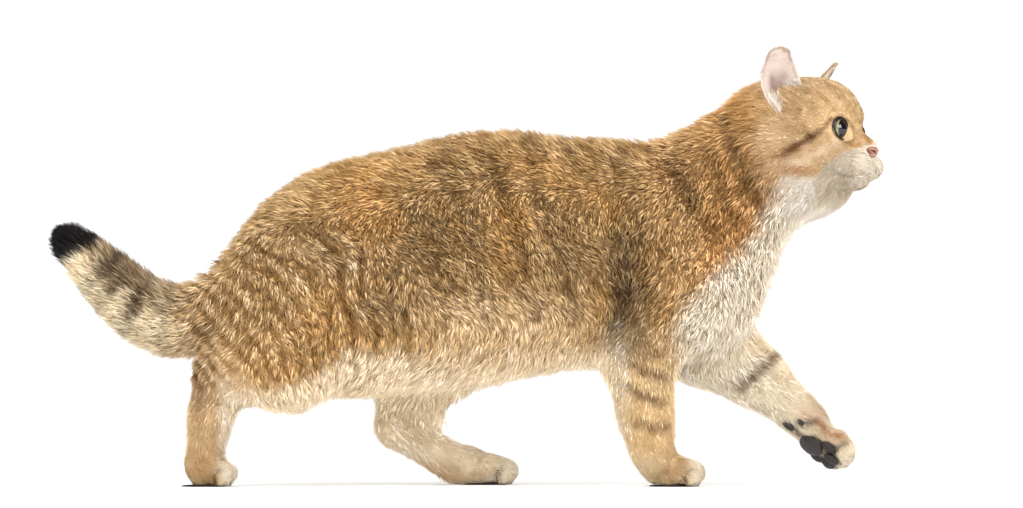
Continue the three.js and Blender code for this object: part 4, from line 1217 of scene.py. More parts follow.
def finish(name, source, size, strength, lift, roughness, spread, specular=0.3, **fixed):
    """A material from a colour source: mottled colour, roughness spread by the mottle's height, and a bump."""
    made, tree, shader = material(name, roughness, specular, **fixed)
    if isinstance(source, str):
        colour = node(tree, "Attribute", attribute_name=source).outputs["Color"]
    else:
        colour = (*source, 1.0)
    mottle = node(tree, "Group", node_tree=MOTTLE)
    plug(tree, mottle, {"Colour": colour, "Size": size, "Strength": strength})
    tree.links.new(mottle.outputs["Colour"], shader.inputs["Base Color"])
    grain(tree, shader, mottle.outputs["Height"], (roughness - spread, roughness + spread), 1.0, lift)
    return made


COAT = finish("coat_hair", "hair", 900.0, 0.25, 0.0002, 0.62, 0.15, 0.2)
SKIN = finish("short_fur_skin", "hair", 700.0, 0.35, 0.0003, 0.7, 0.15, 0.2)
EAR_SKIN = finish("ear_skin", "hair", 500.0, 0.12, 0.0002, 0.55, 0.1, 0.3)
NOSE_SKIN = finish("nose_leather", "hair", 1500.0, 0.3, 0.0003, 0.42, 0.12, 0.45)
PAD_SKIN = finish("pad_leather", linear(40, 33, 33), 1300.0, 0.6, 0.0005, 0.5, 0.15, 0.35)
LID_SKIN = finish("lid_rim", "hair", 900.0, 0.4, 0.0002, 0.35, 0.1, 0.4)
LIP_SKIN = finish("lip", linear(128, 92, 74), 900.0, 0.4, 0.0002, 0.5, 0.1, 0.3)
WHISKER = finish("whisker", linear(226, 222, 214), 300.0, 0.1, 0.00005, 0.35, 0.08, 0.5)


# ------------------------------------------------------------------ the skin
def pushed(points, normals, deeper=0.0):
    """Points moved in from the closed coat's outline by the coat's depth."""
    spot = survey(points)
    depth = coat_depth(spot)
    return points - normals * (depth + deeper)[:, None], coat_colour(spot)


face_points, face_faces = face
face_normals = unit(slope(face_field, face_points, 0.45))
near_head = norm(form - HEAD_AT) < HEAD_REACH
form[near_head], form_normals[near_head] = onto(closed, form[near_head], rounds=4)
cover = in_face(form)
deeper = np.where(cover, 2.2, 0.0)
for name, leg in LEGS.items():
    deeper = np.maximum(deeper, np.where(in_foot(form, leg), 1.4, 0))
skin_points, skin_colour = pushed(form, form_normals, deeper)
parts, tints = [(skin_points, outward(form, [form_faces]))], [skin_colour]
back_dip = 2.4 * step(fan_angle(face_points), FACE_EDGE - 2, FACE_EDGE + 8)
points, tint = pushed(face_points, face_normals, back_dip)
points[-2] = HEAD_CORE[0]
parts.append((points, outward(face_points, face_faces)))
tints.append(tint)
foot_normals = {}
for name, leg in LEGS.items():
    foot_points, foot_faces = feet[name]
    foot_normals[name] = unit(slope(foot_field(leg), foot_points, 0.5))
    at, way = leg["ankle"]
    dip = 1.6 * (1 - step((foot_points - np.asarray(at, float)) @ unit(way), -5, 3))
    points, tint = pushed(foot_points, foot_normals[name], dip)
    if name != "left_fore":
        points[:, 2] = np.maximum(points[:, 2], 0.3)
    parts.append((points, outward(foot_points, foot_faces)))
    tints.append(tint)
all_points, all_faces = joined(parts)
skin = put("skin", all_points, all_faces, SKIN, np.concatenate(tints))
FLESH = [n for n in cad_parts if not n.endswith(("_ear", "_eye")) and n != "nose"]
declare(skin, "coat", *FLESH)


# ------------------------------------------------------------------ the coat
rng = np.random.default_rng(7)
# Two layers: bent under tufts that close the deep coat, and fine straight strands over all of it. For each
# of KINDS: skin area per tuft, half a tuft's width, and depth over length. Then the size of the locks, in mm.
LAYERS = {
    "under": {
        "area": (11, 9, 40, 11, 26, 300), "width": (0.95, 0.85, 0.55, 0.9, 0.7, 0.45),
        "steep": (1.3, 1.0, 0.6, 1.2, 0.75, 0.5), "root": 1.0,
    },
    "over": {
        "area": (1.98, 1.7, 0.55, 1.98, 1.16, 0.7), "width": (0.29, 0.27, 0.25, 0.29, 0.28, 0.25),
        "steep": (1.2, 0.9, 0.6, 1.15, 0.8, 0.5), "root": 0.62,
    },
}
LOCK = (7.5, 7.0, 3.0, 7.5, 4.5, 2.6)


def mixed(values, spot):
    """The values of KINDS at each place, mixed by the regions' shares."""
    return sum(spot["share"][region] * values[KINDS.index(kind)] for region, kind in zip(REGIONS, KIND_OF))


def scattered(points, faces, normals, keep, area_table):
    """Places spread evenly over the kept triangles of a surface: one for each step of the running sum of area
    over area per tuft, at a random spot of its triangle."""
    tri = triangles(faces)
    tri = tri[keep(points[tri].mean(1))]
    a, b, c = (points[tri[:, k]] for k in range(3))
    area = norm(np.cross(b - a, c - a)) / 2
    total = np.cumsum(area / mixed(area_table, survey((a + b + c) / 3)))
    count = int(total[-1])
    pick = np.searchsorted(total, (np.arange(count) + rng.random(count)) * total[-1] / count)
    pick = np.minimum(pick, len(tri) - 1)
    u, v = rng.random(count), rng.random(count)
    over = u + v > 1
    u, v = np.where(over, 1 - u, u)[:, None], np.where(over, 1 - v, v)[:, None]
    tri = tri[pick]
    at = points[tri[:, 0]] * (1 - u - v) + points[tri[:, 1]] * u + points[tri[:, 2]] * v
    normal = unit(normals[tri[:, 0]] * (1 - u - v) + normals[tri[:, 1]] * u + normals[tri[:, 2]] * v)
    return at, normal


def locks(p, size, salt):
    """The middle of the lock that each place belongs to: the nearest of one hashed place in each cell of a
    lattice. Returns it, a number from 0 to 1 that the lock's tufts share, and how far out each place is in it."""
    size = size[:, None] if np.ndim(size) else size
    home = np.floor(p / size)
    best = np.full(len(p), np.inf)
    middle, tone = p.copy(), np.zeros(len(p))
    for away in np.ndindex(3, 3, 3):
        cell = home + np.array(away) - 1
        place = (cell + np.stack([hashed(cell, salt + k) for k in range(3)], -1)) * size
        d = ((p - place) ** 2).sum(1)
        near = d < best
        best[near], middle[near], tone[near] = d[near], place[near], hashed(cell[near], salt + 3)
    return middle, tone, np.sqrt(best) / (np.ravel(size) if np.ndim(size) else size)


def ripples(p):
    """Where the coat of the rump, thigh and flank breaks into ridges: a saw wave whose lines run down and
    forwards, steeper towards the flank, bent by noise. Returns the wave, rising from 0 to 1 and then falling at
    once, and how strong it is at each place."""
    x, z = p[:, 0], p[:, 2]
    slant = 0.010 + 0.045 * step(-x, 95, 215)
    phase = 0.062 * (x + 160) + slant * (z - 120) + 0.34 * noise(p, 34, 21) + 0.14 * noise(p, 13, 22)
    rump = step(-x, 60, 110) * (1 - step(-x, 232, 250))
    flank = 0.4 * step(-x, -70, 20) * (1 - step(-x, 60, 110))
    strength = (rump * (1 - step(z, 205, 250)) + flank * (1 - step(z, 150, 190))) * step(z, 78, 100)
    return phase - np.floor(phase), np.clip(strength * (0.6 + 0.9 * np.clip(noise(p, 24, 23) + 0.5, 0, 1)), 0, 1.25)


surfaces = [(form, [form_faces], form_normals,
             lambda m: ~in_face(m) & ~np.any([in_foot(m, k) for k in LEGS.values()], 0)),
            (face_points, outward(face_points, face_faces), face_normals, in_face)]
for name, leg in LEGS.items():
    surfaces.append((*feet[name], foot_normals[name], lambda m, leg=leg: in_foot(m, leg)))


def bare_place(p):
    """True where no hair grows: the eyes' opening, the nose, the line of the mouth and the soles."""
    q = mirrored(into_head(p))
    on_lids = norm(lid_place(q)[0]) < LID_RADIUS + 1.2
    bare = (np.abs(closed(p)) > 0.8) | (on_lids & (lid_opening(q) < 1.3)) | (rounded(q, NOSE_AT, NOSE_HALF) < 0.6)
    bare |= line_distance(q, MOUTH_ON) < 0.7
    for leg in LEGS.values():
        foot = into_paw(p, leg)
        for at, half in leg["pads"]:
            bare |= rounded(foot, at, half) < 0.7
    return bare


def streaked(p):
    """Places squeezed to a third along a fixed slant down and forwards, so that noise read there makes streaks."""
    slant = np.array([0.56, 0.0, -0.83])
    along = p @ slant
    return p - 0.66 * along[:, None] * slant


DEEP_GAIN = 0.36  # how much lighter the hairs of the deepest coat are, for the shade among them


def off_floor(points, which, least):
    """Raises some of the points in place to a least height over the floor."""
    points[:, 2] = np.where(which, np.maximum(points[:, 2], least), points[:, 2])


def grown(layer):
    """All tufts of a layer as arrays: base, middle, tip, half width and the colours there.

    A base lies at the coat's depth under the outline, times the layer's root share. The tip lies along the
    lie of the coat at depth / steep, drawn towards its lock, then set on the outline and lifted or sunk by
    chance, by its lock and by the ripples. The middle bows outwards."""
    kind = LAYERS[layer]
    over = layer == "over"
    found = [scattered(points, faces, normals, keep, kind["area"]) for points, faces, normals, keep in surfaces]
    p, n = (np.concatenate([f[k] for f in found]) for k in range(2))
    loose = (norm(p - HEAD_AT) < HEAD_REACH) & (np.abs(closed(p)) > 0.25)
    p[loose], n[loose] = onto(closed, p[loose], rounds=2)
    kept = ~bare_place(p)
    p, n = p[kept], n[kept]
    spot = survey(p)
    depth, way = coat_depth(spot), lie(spot, n)
    side = np.cross(n, way)
    chance = rng.random((len(p), 7))
    deep = np.clip(depth / 11, 0, 1)
    size = mixed(LOCK, spot)
    lock_at, lock_tone, lock_edge = locks(p + side * (3 * noise(p, 20, 11))[:, None], size, 31)
    wave, rippled = ripples(p)
    reach = depth / mixed(kind["steep"], spot) * (0.65 + 0.7 * chance[:, 0]) + 0.9
    turn = (0.3 + 0.5 * deep) * (chance[:, 1] - 0.5) + 0.6 * noise(p, 26, 12) * np.clip(deep, 0.25, 1)
    turn += 0.6 * (hashed(np.floor(lock_at * 7), 5) - 0.5) * deep
    lean = unit(way + side * turn[:, None])
    tips = p + lean * reach[:, None]
    pull = lock_at - p
    pull -= n * dot(pull, n)[:, None]
    tips = tips + (deep * (0.3 + 0.4 * rippled))[:, None] * pull
    lift = (chance[:, 2] - 0.52) * 0.42 * depth + (lock_tone - 0.5) * 0.3 * depth
    lift -= 0.35 * depth * np.clip(lock_edge - 0.3, 0, 0.6) * (1 + rippled)
    lift += rippled * depth * (0.7 * wave - 0.45)
    stray = (chance[:, 3] > 0.9) * over
    lift += stray * (0.3 + 0.7 * chance[:, 4]) * np.clip(0.8 * depth, 0, 8.5)
    lift -= (not over) * 0.1 * depth
    tips, _ = onto(closed, tips, 0.0, rounds=1)
    tips = tips + n * lift[:, None]
    near_floor = p[:, 2] < 30
    off_floor(tips, near_floor, 0.4)
    base = p - n * (depth * kind["root"] + 0.3)[:, None]
    if over:
        base += lean * (0.2 * reach)[:, None]
    off_floor(base, near_floor, 0.6)
    long = norm(tips - base)
    middle = (base + tips) / 2 + n * (0.13 * long)[:, None] - lean * (0.05 * long)[:, None]
    off_floor(middle, near_floor, 0.6)
    wide = mixed(kind["width"], spot) * (0.7 + 0.6 * chance[:, 5]) * (1 - 0.3 * stray)
    mean = coat_colour(survey(p + (rng.random((len(p), 3)) - 0.5) * (0.5 + 3.2 * deep)[:, None]))
    mean *= (0.92 + DEEP_GAIN * deep)[:, None]
    bright = mean @ np.array([0.3, 0.6, 0.1])
    contrast = np.clip(1.15 - 0.75 * step(bright, 0.28, 0.75), 0.4, 1.15) * (2.1 - 1.1 * deep)
    tick = 0.5 * (chance[:, 6] * 2 - 1) + 0.45 * (lock_tone * 2 - 1) + 0.4 * noise(p, 5, 41)
    tick += (0.95 * noise(streaked(p), 5.5, 42) + 0.45 * noise(streaked(p), 13, 43)) * (0.4 + 0.6 * deep)
    # Painted shade in the breaks of the ripples, where the wave is near 0 and 1, and painted light on the ridges
    # between them.
    tick -= rippled * (3.2 * np.maximum(bump(wave, 0.02, 0.22), bump(wave, 1.02, 0.15)) - 0.9)
    # Painted shade at the edges of the locks, in the partings between them.
    tick -= 0.6 * np.clip(lock_edge - 0.35, 0, 0.5)
    tick = np.where(tick > 0, 0.62 * tick, tick)
    tick -= 0.9 * stray * step(n[:, 2], 0.2, 0.7)
    # The root ring is darkened with the coat's depth: painted shade deep in the coat.
    tones = [mean * np.exp((amount * contrast)[:, None] * STRAND)
             for amount in (tick * 0.5 - 0.3 * deep, tick * 0.9 + 0.05, tick)]
    return {"base": base, "middle": middle, "tip": tips, "wide": wide, "tones": tones, "normal": n, "spot": spot,
            "straight": np.full(len(p), over)}


def crosswise(run, normal):
    """Two ways square to a run and to each other, the first one lying in the surface."""
    across = unit(np.cross(run, normal))
    return across, np.cross(across, run)


RING = np.radians([90, 210, 330])
PATCH = 0.003  # how much of the unwrap each tuft takes


def tuft_parts(coat, pick, uv, straight):
    """Points, faces, colours and corner places on the unwrap of some tufts. A bent tuft has a ring of three at
    the root, a ring of three at the middle and a tip; a straight one has a ring of three and a tip."""
    b, m, t, n = (coat[k][pick] for k in ("base", "middle", "tip", "normal"))
    w = coat["wide"][pick][:, None]
    low, mid, top = (tone[pick] for tone in coat["tones"])
    rings = [(b, t if straight else m, 0.85, low)] if straight else [(b, m, 0.8, low), (m, t, 1.0, mid)]
    points, tints = [], []
    for at, toward, share, tone in rings:
        across, up = crosswise(unit(toward - b), n)
        for angle in RING:
            edge = 1 + 0.16 * (rng.random(len(pick)) * 2 - 1)[:, None]
            points.append(at + w * share * (across * np.cos(angle) + up * (0.6 * np.sin(angle))))
            tints.append(tone * edge)
    points.append(t)
    tints.append(top)
    k = len(points)
    faces, patch = [(0, 2, 1)], [(0, 0), (2 / 3, 0), (1 / 3, 0)]
    for ring in range(len(rings)):
        for j in range(3):
            a, c = 3 * ring + j, 3 * ring + (j + 1) % 3
            u, v, h = j / 3, (j + 1) / 3, ring / len(rings)
            if ring == len(rings) - 1:
                faces.append((a, c, k - 1))
                patch += [(u, h), (v, h), ((u + v) / 2, 1)]
            else:
                up_h = (ring + 1) / len(rings)
                faces += [(a, c, c + 3), (a, c + 3, a + 3)]
                patch += [(u, h), (v, h), (v, up_h), (u, h), (v, up_h), (u, up_h)]
    count = len(pick)
    faces = (np.array(faces)[None] + k * np.arange(count)[:, None, None]).reshape(-1, 3)
    corner_uv = uv[pick][:, None] * (1 - PATCH) + (np.array(patch) * PATCH)[None]
    stack = [np.stack(a, 1).reshape(-1, 3) for a in (points, tints)]
    return stack[0], faces, stack[1], corner_uv.reshape(-1, 2)


def unwrapped(spot):
    """Each root's place on an unwrap of the skin's own shape: for the trunk and tail the place along the middle
    line and the angle round it, for the head the angle from the muzzle and the angle round it, for legs the
    place along the leg and the angle round it, each leg in a strip of its own."""
    k = spot["trunk"]
    along = k["station"] / (len(SPINE) - 1)
    round_ = np.arctan2(k["side"], k["high"] * k["reach"]) / (2 * np.pi) + 0.5
    uv = np.stack([along, round_], -1)
    at, run, off = spot["tail"]
    angle = np.arctan2(off[:, 1], dot(off, np.cross(run, np.array([0.0, -1, 0])))) / (2 * np.pi) + 0.5
    uv = np.where((spot["region"] == 1)[:, None], np.stack([at / (len(TAIL) - 1), angle], -1), uv)
    hq = into_head(spot["p"]) - np.array([0, 0, -8])
    polar = np.stack([fan_angle(spot["p"]) / 180, np.arctan2(hq[:, 1], hq[:, 2]) / (2 * np.pi) + 0.5], -1)
    uv = np.where((spot["region"] == 2)[:, None], polar, uv)
    for i, name in enumerate(LEGS):
        here = spot["limbs"][name]
        angle = np.arctan2(here["off"][:, 1], here["off"][:, 0] + 0.5 * here["off"][:, 2]) / (2 * np.pi) + 0.5
        strip = np.stack([(np.clip(here["at"] / 4.4, 0, 0.99) + i) / 4, angle], -1)
        uv = np.where((spot["region"] // 3 == i + 1)[:, None], strip, uv)
    return np.clip(uv, 0, 1)


BODY_PIECES = ("coat_rump", "coat_thighs", "coat_flank", "coat_shoulder", "coat_neck")
coats = [grown(layer) for layer in LAYERS]
body_stations = []
for coat in coats:
    region = coat["spot"]["region"]
    coat["kind"] = np.array(KIND_OF)[region]
    coat["on_body"] = (coat["kind"] == "trunk") | (coat["kind"] == "upper")
    coat["unwrap"] = unwrapped(coat["spot"])
    weight = 4 if coat["straight"][0] else 10
    body_stations.append(np.repeat(coat["spot"]["trunk"]["station"][coat["on_body"]], weight))
edges = np.quantile(np.concatenate(body_stations), np.linspace(0, 1, len(BODY_PIECES) + 1))
edges[0], edges[-1] = -1, 99


def coat_piece(name, chosen):
    """One piece of the coat from the tufts of every layer that a rule chooses."""
    points, faces, tints, uvs, start = [], [], [], [], 0
    for coat in coats:
        pick = np.nonzero(chosen(coat))[0]
        p, f, tint, uv = tuft_parts(coat, pick, coat["unwrap"], coat["straight"][0])
        points.append(p)
        faces.append(f + start)
        tints.append(tint)
        uvs.append(uv)
        start += len(p)
    faces = np.concatenate(faces)
    piece = put(name, np.concatenate(points), [faces], COAT, np.concatenate(tints), np.concatenate(uvs))
    declare(piece, "coat")


LEGS_PARTED = 80  # x between fore and hind legs
for i, name in enumerate(BODY_PIECES):
    coat_piece(name, lambda c, i=i: c["on_body"] & (c["spot"]["trunk"]["station"] >= edges[i])
               & (c["spot"]["trunk"]["station"] < edges[i + 1]))
coat_piece("coat_tail", lambda c: c["kind"] == "tail")
coat_piece("coat_crown", lambda c: (c["kind"] == "head") & (fan_angle(c["spot"]["p"]) >= 70))
coat_piece("coat_face", lambda c: (c["kind"] == "head") & (fan_angle(c["spot"]["p"]) < 70))
coat_piece("coat_fore_legs", lambda c: (c["kind"] == "lower") & (c["spot"]["p"][:, 0] > LEGS_PARTED))
coat_piece("coat_hind_legs", lambda c: (c["kind"] == "lower") & (c["spot"]["p"][:, 0] <= LEGS_PARTED))
coat_piece("coat_feet", lambda c: c["kind"] == "paw")

# ------------------------------------------------------------------ ears
EAR_ROUND = 2.5  # the station from which the ear's outline closes in a half circle
EAR_TALL = {"right": 0.92, "left": 0.86}  # how much of the solid's height the bare ear has under its fringe
EAR_LEAN = np.array([-5.0, 0.0, -1.0])  # how far its round tip sits back from the solid's


def ear_points(side, turned, share, around=56, tall=48, inset=0.5):
    """A cup: half-oval sections carried from foot to tip with smooth stations, outside and inside a wall apart.

    Round each section the bow goes from front edge to outer edge on the outside and back on the inside; the
    place is middle + half sin(bow) + deep cos(bow). Past EAR_ROUND, half and deep are those of that station
    times (1 - t^1.7)^0.66, where t goes from 0 to 1."""
    last = len(EAR) - 1
    v = (1 - (1 - np.linspace(0, 1, tall)) ** 1.25) * last * share
    rows, held = smooth(EAR, v), smooth(EAR, np.minimum(v, EAR_ROUND))
    thick = rows[:, 9]
    late = np.maximum(v - EAR_ROUND, 0) / (last * share - EAR_ROUND)
    middle = (rows[:, 0:3] + rows[:, 6:9]) / 2 + EAR_LEAN * late[:, None] ** 1.5
    shrink = np.maximum(1 - late**1.7, 0.0005)[:, None] ** 0.66
    half = (held[:, 6:9] - held[:, 0:3]) / 2 * shrink
    deep = (held[:, 3:6] - (held[:, 0:3] + held[:, 6:9]) / 2) * shrink
    turn = np.arange(around) / around
    inside = turn > 0.5
    bow = np.where(inside, 3 - 4 * turn, 4 * turn - 1) * np.pi / 2
    wall = np.where(inside, 1.0, 0)[None] * thick[:, None]
    out = np.where(inside, 0, inset)[None]
    wide = np.maximum(1 - (wall * 0.4 + out * 0.5) / norm(half)[:, None], 0.15) * np.sin(bow)
    far = np.maximum(1 - (wall + out) / norm(deep)[:, None], -0.4) * np.cos(bow)
    points = middle[:, None] + half[:, None] * wide[..., None] + deep[:, None] * far[..., None]
    ends = np.array([middle[0] + deep[0] * 0.5, middle[-1] + deep[-1] * 0.5])
    points = np.concatenate([points.reshape(-1, 3), ends])
    depth_in = np.concatenate([np.broadcast_to(inside, (tall, around)).ravel(), [False, False]])
    bow = np.concatenate([np.broadcast_to(np.sin(bow), (tall, around)).ravel(), [0, 1]])
    high = np.concatenate([np.repeat(v / last / share, around), [0, 1]])
    return from_head(turned_ear(points, side, turned)), grid_faces(tall, around), depth_in, bow, high


def turned_ear(points, side, turned):
    """Left-ear places put on one side and turned forwards about the ear's upright line."""
    points = mirrored(points, side)
    pivot = np.array([EAR_PIVOT[0], EAR_PIVOT[1] * side, 0])
    c, s = np.cos(-side * turned), np.sin(-side * turned)
    return (points - pivot) @ np.array([(c, s, 0), (-s, c, 0), (0, 0, 1)]) + pivot


# The deep tone is painted shade, laid in the hollow low in the cup and along a fold inside it.
EAR_TONES = {
    "right": {"inner": linear(200, 182, 172), "deep": linear(128, 104, 96), "rim": linear(222, 206, 192),
              "back": linear(196, 156, 106), "tuft": linear(244, 234, 222)},
    "left": {"inner": linear(206, 186, 166), "deep": linear(150, 122, 100), "rim": linear(206, 184, 160),
             "back": linear(190, 160, 124), "tuft": linear(224, 206, 180)},
}


def ear_tufts(name, points, normals, inside, bow, high, tones):
    """Hair of one ear: short golden hair on its back, a pale fringe along its edge and long white wisps inside
    its foot. Each strand starts on the cup and runs up it, leaning out by a share of its length."""
    up = unit(points[np.argmax(high)] - points[np.argmin(high)])
    kinds = [  # where, how many, length, lean, half width, tone
        (~inside & (high < 0.9) & (np.abs(bow) < 0.86), 3200, 2.8, 0.14, 0.25, "back"),
        (np.abs(bow) > 0.86, 2600, 1.9, 0.35, 0.2, "rim"),
        (inside & (high > 0.02) & (high < 0.2) & (bow > 0.1), 340, 10.0, 0.4, 0.34, "tuft"),
        (inside & (high > 0.02) & (high < 0.3) & (bow < -0.3), 340, 8.0, 0.35, 0.3, "tuft"),
        (inside & (high < 0.8), 900, 3.0, 0.2, 0.16, "rim"),
    ]
    coat = {k: [] for k in ("base", "tip", "normal", "wide", "tone", "uv")}
    for where, count, long, lean, half, tone in kinds:
        pick = rng.choice(np.nonzero(where)[0], count)
        base = points[pick] + (rng.random((count, 3)) - 0.5) * 1.2
        way = unit(up + (rng.random((count, 3)) - 0.5) * 0.7 + normals[pick] * lean)
        way = unit(way - normals[pick] * np.minimum(dot(way, normals[pick]) - lean, 0)[:, None])
        coat["base"].append(base - normals[pick] * 0.5)
        coat["tip"].append(base + way * (long * (0.6 + 0.8 * rng.random(count)))[:, None])
        coat["normal"].append(normals[pick])
        coat["wide"].append(half * (0.7 + 0.6 * rng.random(count)))
        shade = np.exp((rng.random(count) - 0.5)[:, None] * (0.5 if tone == "back" else 0.2) * STRAND * 2)
        coat["tone"].append(tones[tone] * shade)
        coat["uv"].append(np.stack([high[pick], bow[pick] / 2 + 0.5], -1))
    coat = {k: np.concatenate(v) for k, v in coat.items()}
    coat["middle"], coat["tones"] = coat["tip"], [coat["tone"] * 0.8, coat["tone"], coat["tone"]]
    strands, faces, tint, uv = tuft_parts(coat, np.arange(len(coat["base"])), coat["uv"], True)
    declare(put(f"{name}_ear_fur", strands, [faces], COAT, tint, uv), "coat")


for name, side in (("right", -1), ("left", 1)):
    points, faces, inside, bow, high = ear_points(side, EAR_TURN[name], EAR_TALL[name])
    faces, tones = outward(points, faces), EAR_TONES[name]
    edge = np.abs(bow)
    colour = np.where(inside[:, None], tones["inner"], tones["back"])
    # Painted shade: the hollow low in the cup and a fold across it are darkened towards the deep tone.
    hollow = inside * (1 - step(edge, 0.35, 0.85)) * (1 - step(high, 0.3, 0.62))
    fold_shade = inside * bump(bow, 0.35, 0.14) * (1 - step(high, 0.35, 0.6))
    colour = colour + (tones["deep"] - colour) * np.clip(0.85 * hollow + 0.4 * fold_shade, 0, 0.95)[:, None]
    colour = colour + (tones["rim"] - colour) * step(edge, 0.9, 0.99)[:, None]
    ear = put(f"{name}_ear_cup", points, faces, EAR_SKIN, colour)
    declare(ear, "ear_skin", f"{name}_ear")
    tri = triangles(faces)
    face_way = np.cross(points[tri[:, 1]] - points[tri[:, 0]], points[tri[:, 2]] - points[tri[:, 0]])
    normals = np.zeros_like(points)
    for k in range(3):
        np.add.at(normals, tri[:, k], face_way)
    ear_tufts(name, points, unit(normals), inside, bow, high, tones)

# ------------------------------------------------------------------ eyes
PUPIL_LONG, PUPIL_WIDE, IRIS = 0.66, 0.55, 0.88  # as sines of the angle from the look
PUPIL_SLANT = np.radians(8.0)
CORNEA_RISE, CORNEA_EDGE = 1.8, np.radians(62)
EYE_PLAY = 0.15  # how far the eyeball lies inside the solid's


def eye_points(side, rings=56, around=96):
    """A ball whose front rises into the cornea: radius + rise (1 - (angle / edge)^2)^2 near the look."""
    at, axes = eye_frame(side, PUPIL_SLANT)
    local, faces = ball(rings, around)
    angle = np.append(np.repeat(np.linspace(0, np.pi, rings + 1)[1:-1], around), [0, np.pi])
    rise = CORNEA_RISE * np.maximum(1 - (angle / CORNEA_EDGE) ** 2, 0) ** 2
    points = local * (EYE_RADIUS - EYE_PLAY + rise)[:, None]
    return from_head(points @ axes + at), faces, unit(points)


def eye_material():
    """Wet eye: dark pupil, pale green-gold iris ring with fine spokes and a dark outer rim, under a clear coat.

    The vertex attribute look holds the unit way from the eye's middle in the eye's own axes."""
    made, tree, shader = material("eye", 0.25, 0.15, Coat_Weight=1.0, Coat_Roughness=0.03)
    look = node(tree, "Attribute", attribute_name="look")
    parts = node(tree, "SeparateXYZ", {"Vector": look.outputs["Vector"]})
    long, tall = parts.outputs["Y"], parts.outputs["Z"]
    flat = node(tree, "CombineXYZ", {"X": long, "Y": tall})
    off = node(tree, "VectorMath", {0: flat.outputs["Vector"]}, operation="LENGTH")
    squeeze = {0: flat.outputs["Vector"], 1: (1 / PUPIL_WIDE, 1 / PUPIL_LONG, 0)}
    squeezed = node(tree, "VectorMath", squeeze, operation="MULTIPLY")
    pupil = node(tree, "VectorMath", {0: squeezed.outputs["Vector"]}, operation="LENGTH")
    around = node(tree, "Math", {0: tall, 1: long}, operation="ARCTAN2")
    spoke_at = node(tree, "CombineXYZ", {"X": around.outputs[0], "Y": off.outputs["Value"]})
    stretched = node(tree, "Mapping", {"Vector": spoke_at.outputs["Vector"], "Scale": (14.0, 3.0, 1.0)})
    spokes = node(tree, "TexNoise", {"Vector": stretched.outputs["Vector"], "Scale": 1.6, "Detail": 4.0})
    ramp = node(tree, "ValToRGB", {"Fac": off.outputs["Value"]})
    stops = [(0.50, linear(96, 88, 56)), (0.64, linear(150, 138, 96)), (0.78, linear(142, 132, 98)),
             (IRIS, linear(44, 38, 26)), (0.93, linear(20, 15, 12))]
    while len(ramp.color_ramp.elements) < len(stops):
        ramp.color_ramp.elements.new(0.5)
    for element, (at, tone) in zip(ramp.color_ramp.elements, stops):
        element.position, element.color = at, (*tone, 1)
    lit = node(tree, "MapRange", {"Value": spokes.outputs["Fac"], "To Min": 0.7, "To Max": 1.25})
    iris = node(tree, "VectorMath", {0: ramp.outputs["Color"], "Scale": lit.outputs["Result"]}, operation="SCALE")
    reach = {"Value": pupil.outputs["Value"], "From Min": 0.94, "From Max": 1.06, "To Min": 1.0, "To Max": 0.0}
    hole = node(tree, "MapRange", reach)
    mix = node(tree, "Mix", data_type="RGBA")
    plug(tree, mix, {"Factor": hole.outputs["Result"], "A": iris.outputs["Vector"], "B": (0.002, 0.003, 0.006, 1)})
    tree.links.new(mix.outputs["Result"], shader.inputs["Base Color"])
    grain(tree, shader, spokes.outputs["Fac"], (0.2, 0.34), 0.2, 0.0001)
    return made


EYE = eye_material()
for name, side in (("right", -1), ("left", 1)):
    points, faces, look = eye_points(side)
    eye = put(f"{name}_eyeball", points, outward(points, faces), EYE)
    layer = eye.data.attributes.new("look", "FLOAT_VECTOR", "POINT")
    layer.data.foreach_set("vector", look.astype(np.float32).ravel())
    declare(eye, "eye", f"{name}_eye")

RIM_TONES = {"rim": linear(26, 18, 15), "corner": linear(190, 138, 122)}


def lid_rims(count=96, around=14):
    """The dark rim of the left lids: a closed ring along the opening's edge on the lids' ball, thicker above and
    outside, and pink at the inner corner."""
    turn = full_turn(count)
    long, tall = np.cos(turn), np.sin(turn)
    inner = np.clip(-long, 0, 1) ** 3
    b, c = (OPEN_LONG + INNER_CORNER * inner) * 0.97 * long, OPEN_TALL * 0.98 * tall
    a = np.sqrt(np.maximum((LID_RADIUS + 0.05) ** 2 - b**2 - c**2, 3.0))
    middle = np.stack([a, b, c], -1)
    run = unit(np.roll(middle, -1, 0) - np.roll(middle, 1, 0))
    out = unit(middle)
    across = np.cross(run, out)
    thick = 0.75 + 0.8 * np.clip(tall + 0.3 + 0.5 * long, 0, 1)
    ring = full_turn(around)
    points = middle[:, None] + thick[:, None, None] * (
        across[:, None] * np.cos(ring)[:, None] + 0.6 * out[:, None] * np.sin(ring)[:, None]
    )
    i, j = np.meshgrid(np.arange(count), np.arange(around), indexing="ij")
    n, m = (i + 1) % count, (j + 1) % around
    quads = np.stack([i * around + j, n * around + j, n * around + m, i * around + m], -1).reshape(-1, 4)
    pink = np.repeat(step(-long, 0.86, 0.97) * (1 - step(tall, 0.0, 0.4)), around)[:, None]
    tone = RIM_TONES["rim"] + (RIM_TONES["corner"] - RIM_TONES["rim"]) * pink
    return points.reshape(-1, 3) @ LEFT_EYE_AXES + LEFT_EYE_AT, [quads], tone


for name, side in (("right", -1), ("left", 1)):
    points, faces, tone = lid_rims()
    points = from_head(mirrored(points, side))
    declare(put(f"{name}_lid_rim", points, outward(points, faces), LID_SKIN, tone), "bare_skin")


# ------------------------------------------------------------------ nose, lips, whiskers and pads
# The slit tone is painted shade for the nostrils.
NOSE_TONES = {"leather": linear(166, 118, 98), "slit": linear(34, 14, 10), "edge": linear(104, 66, 42)}


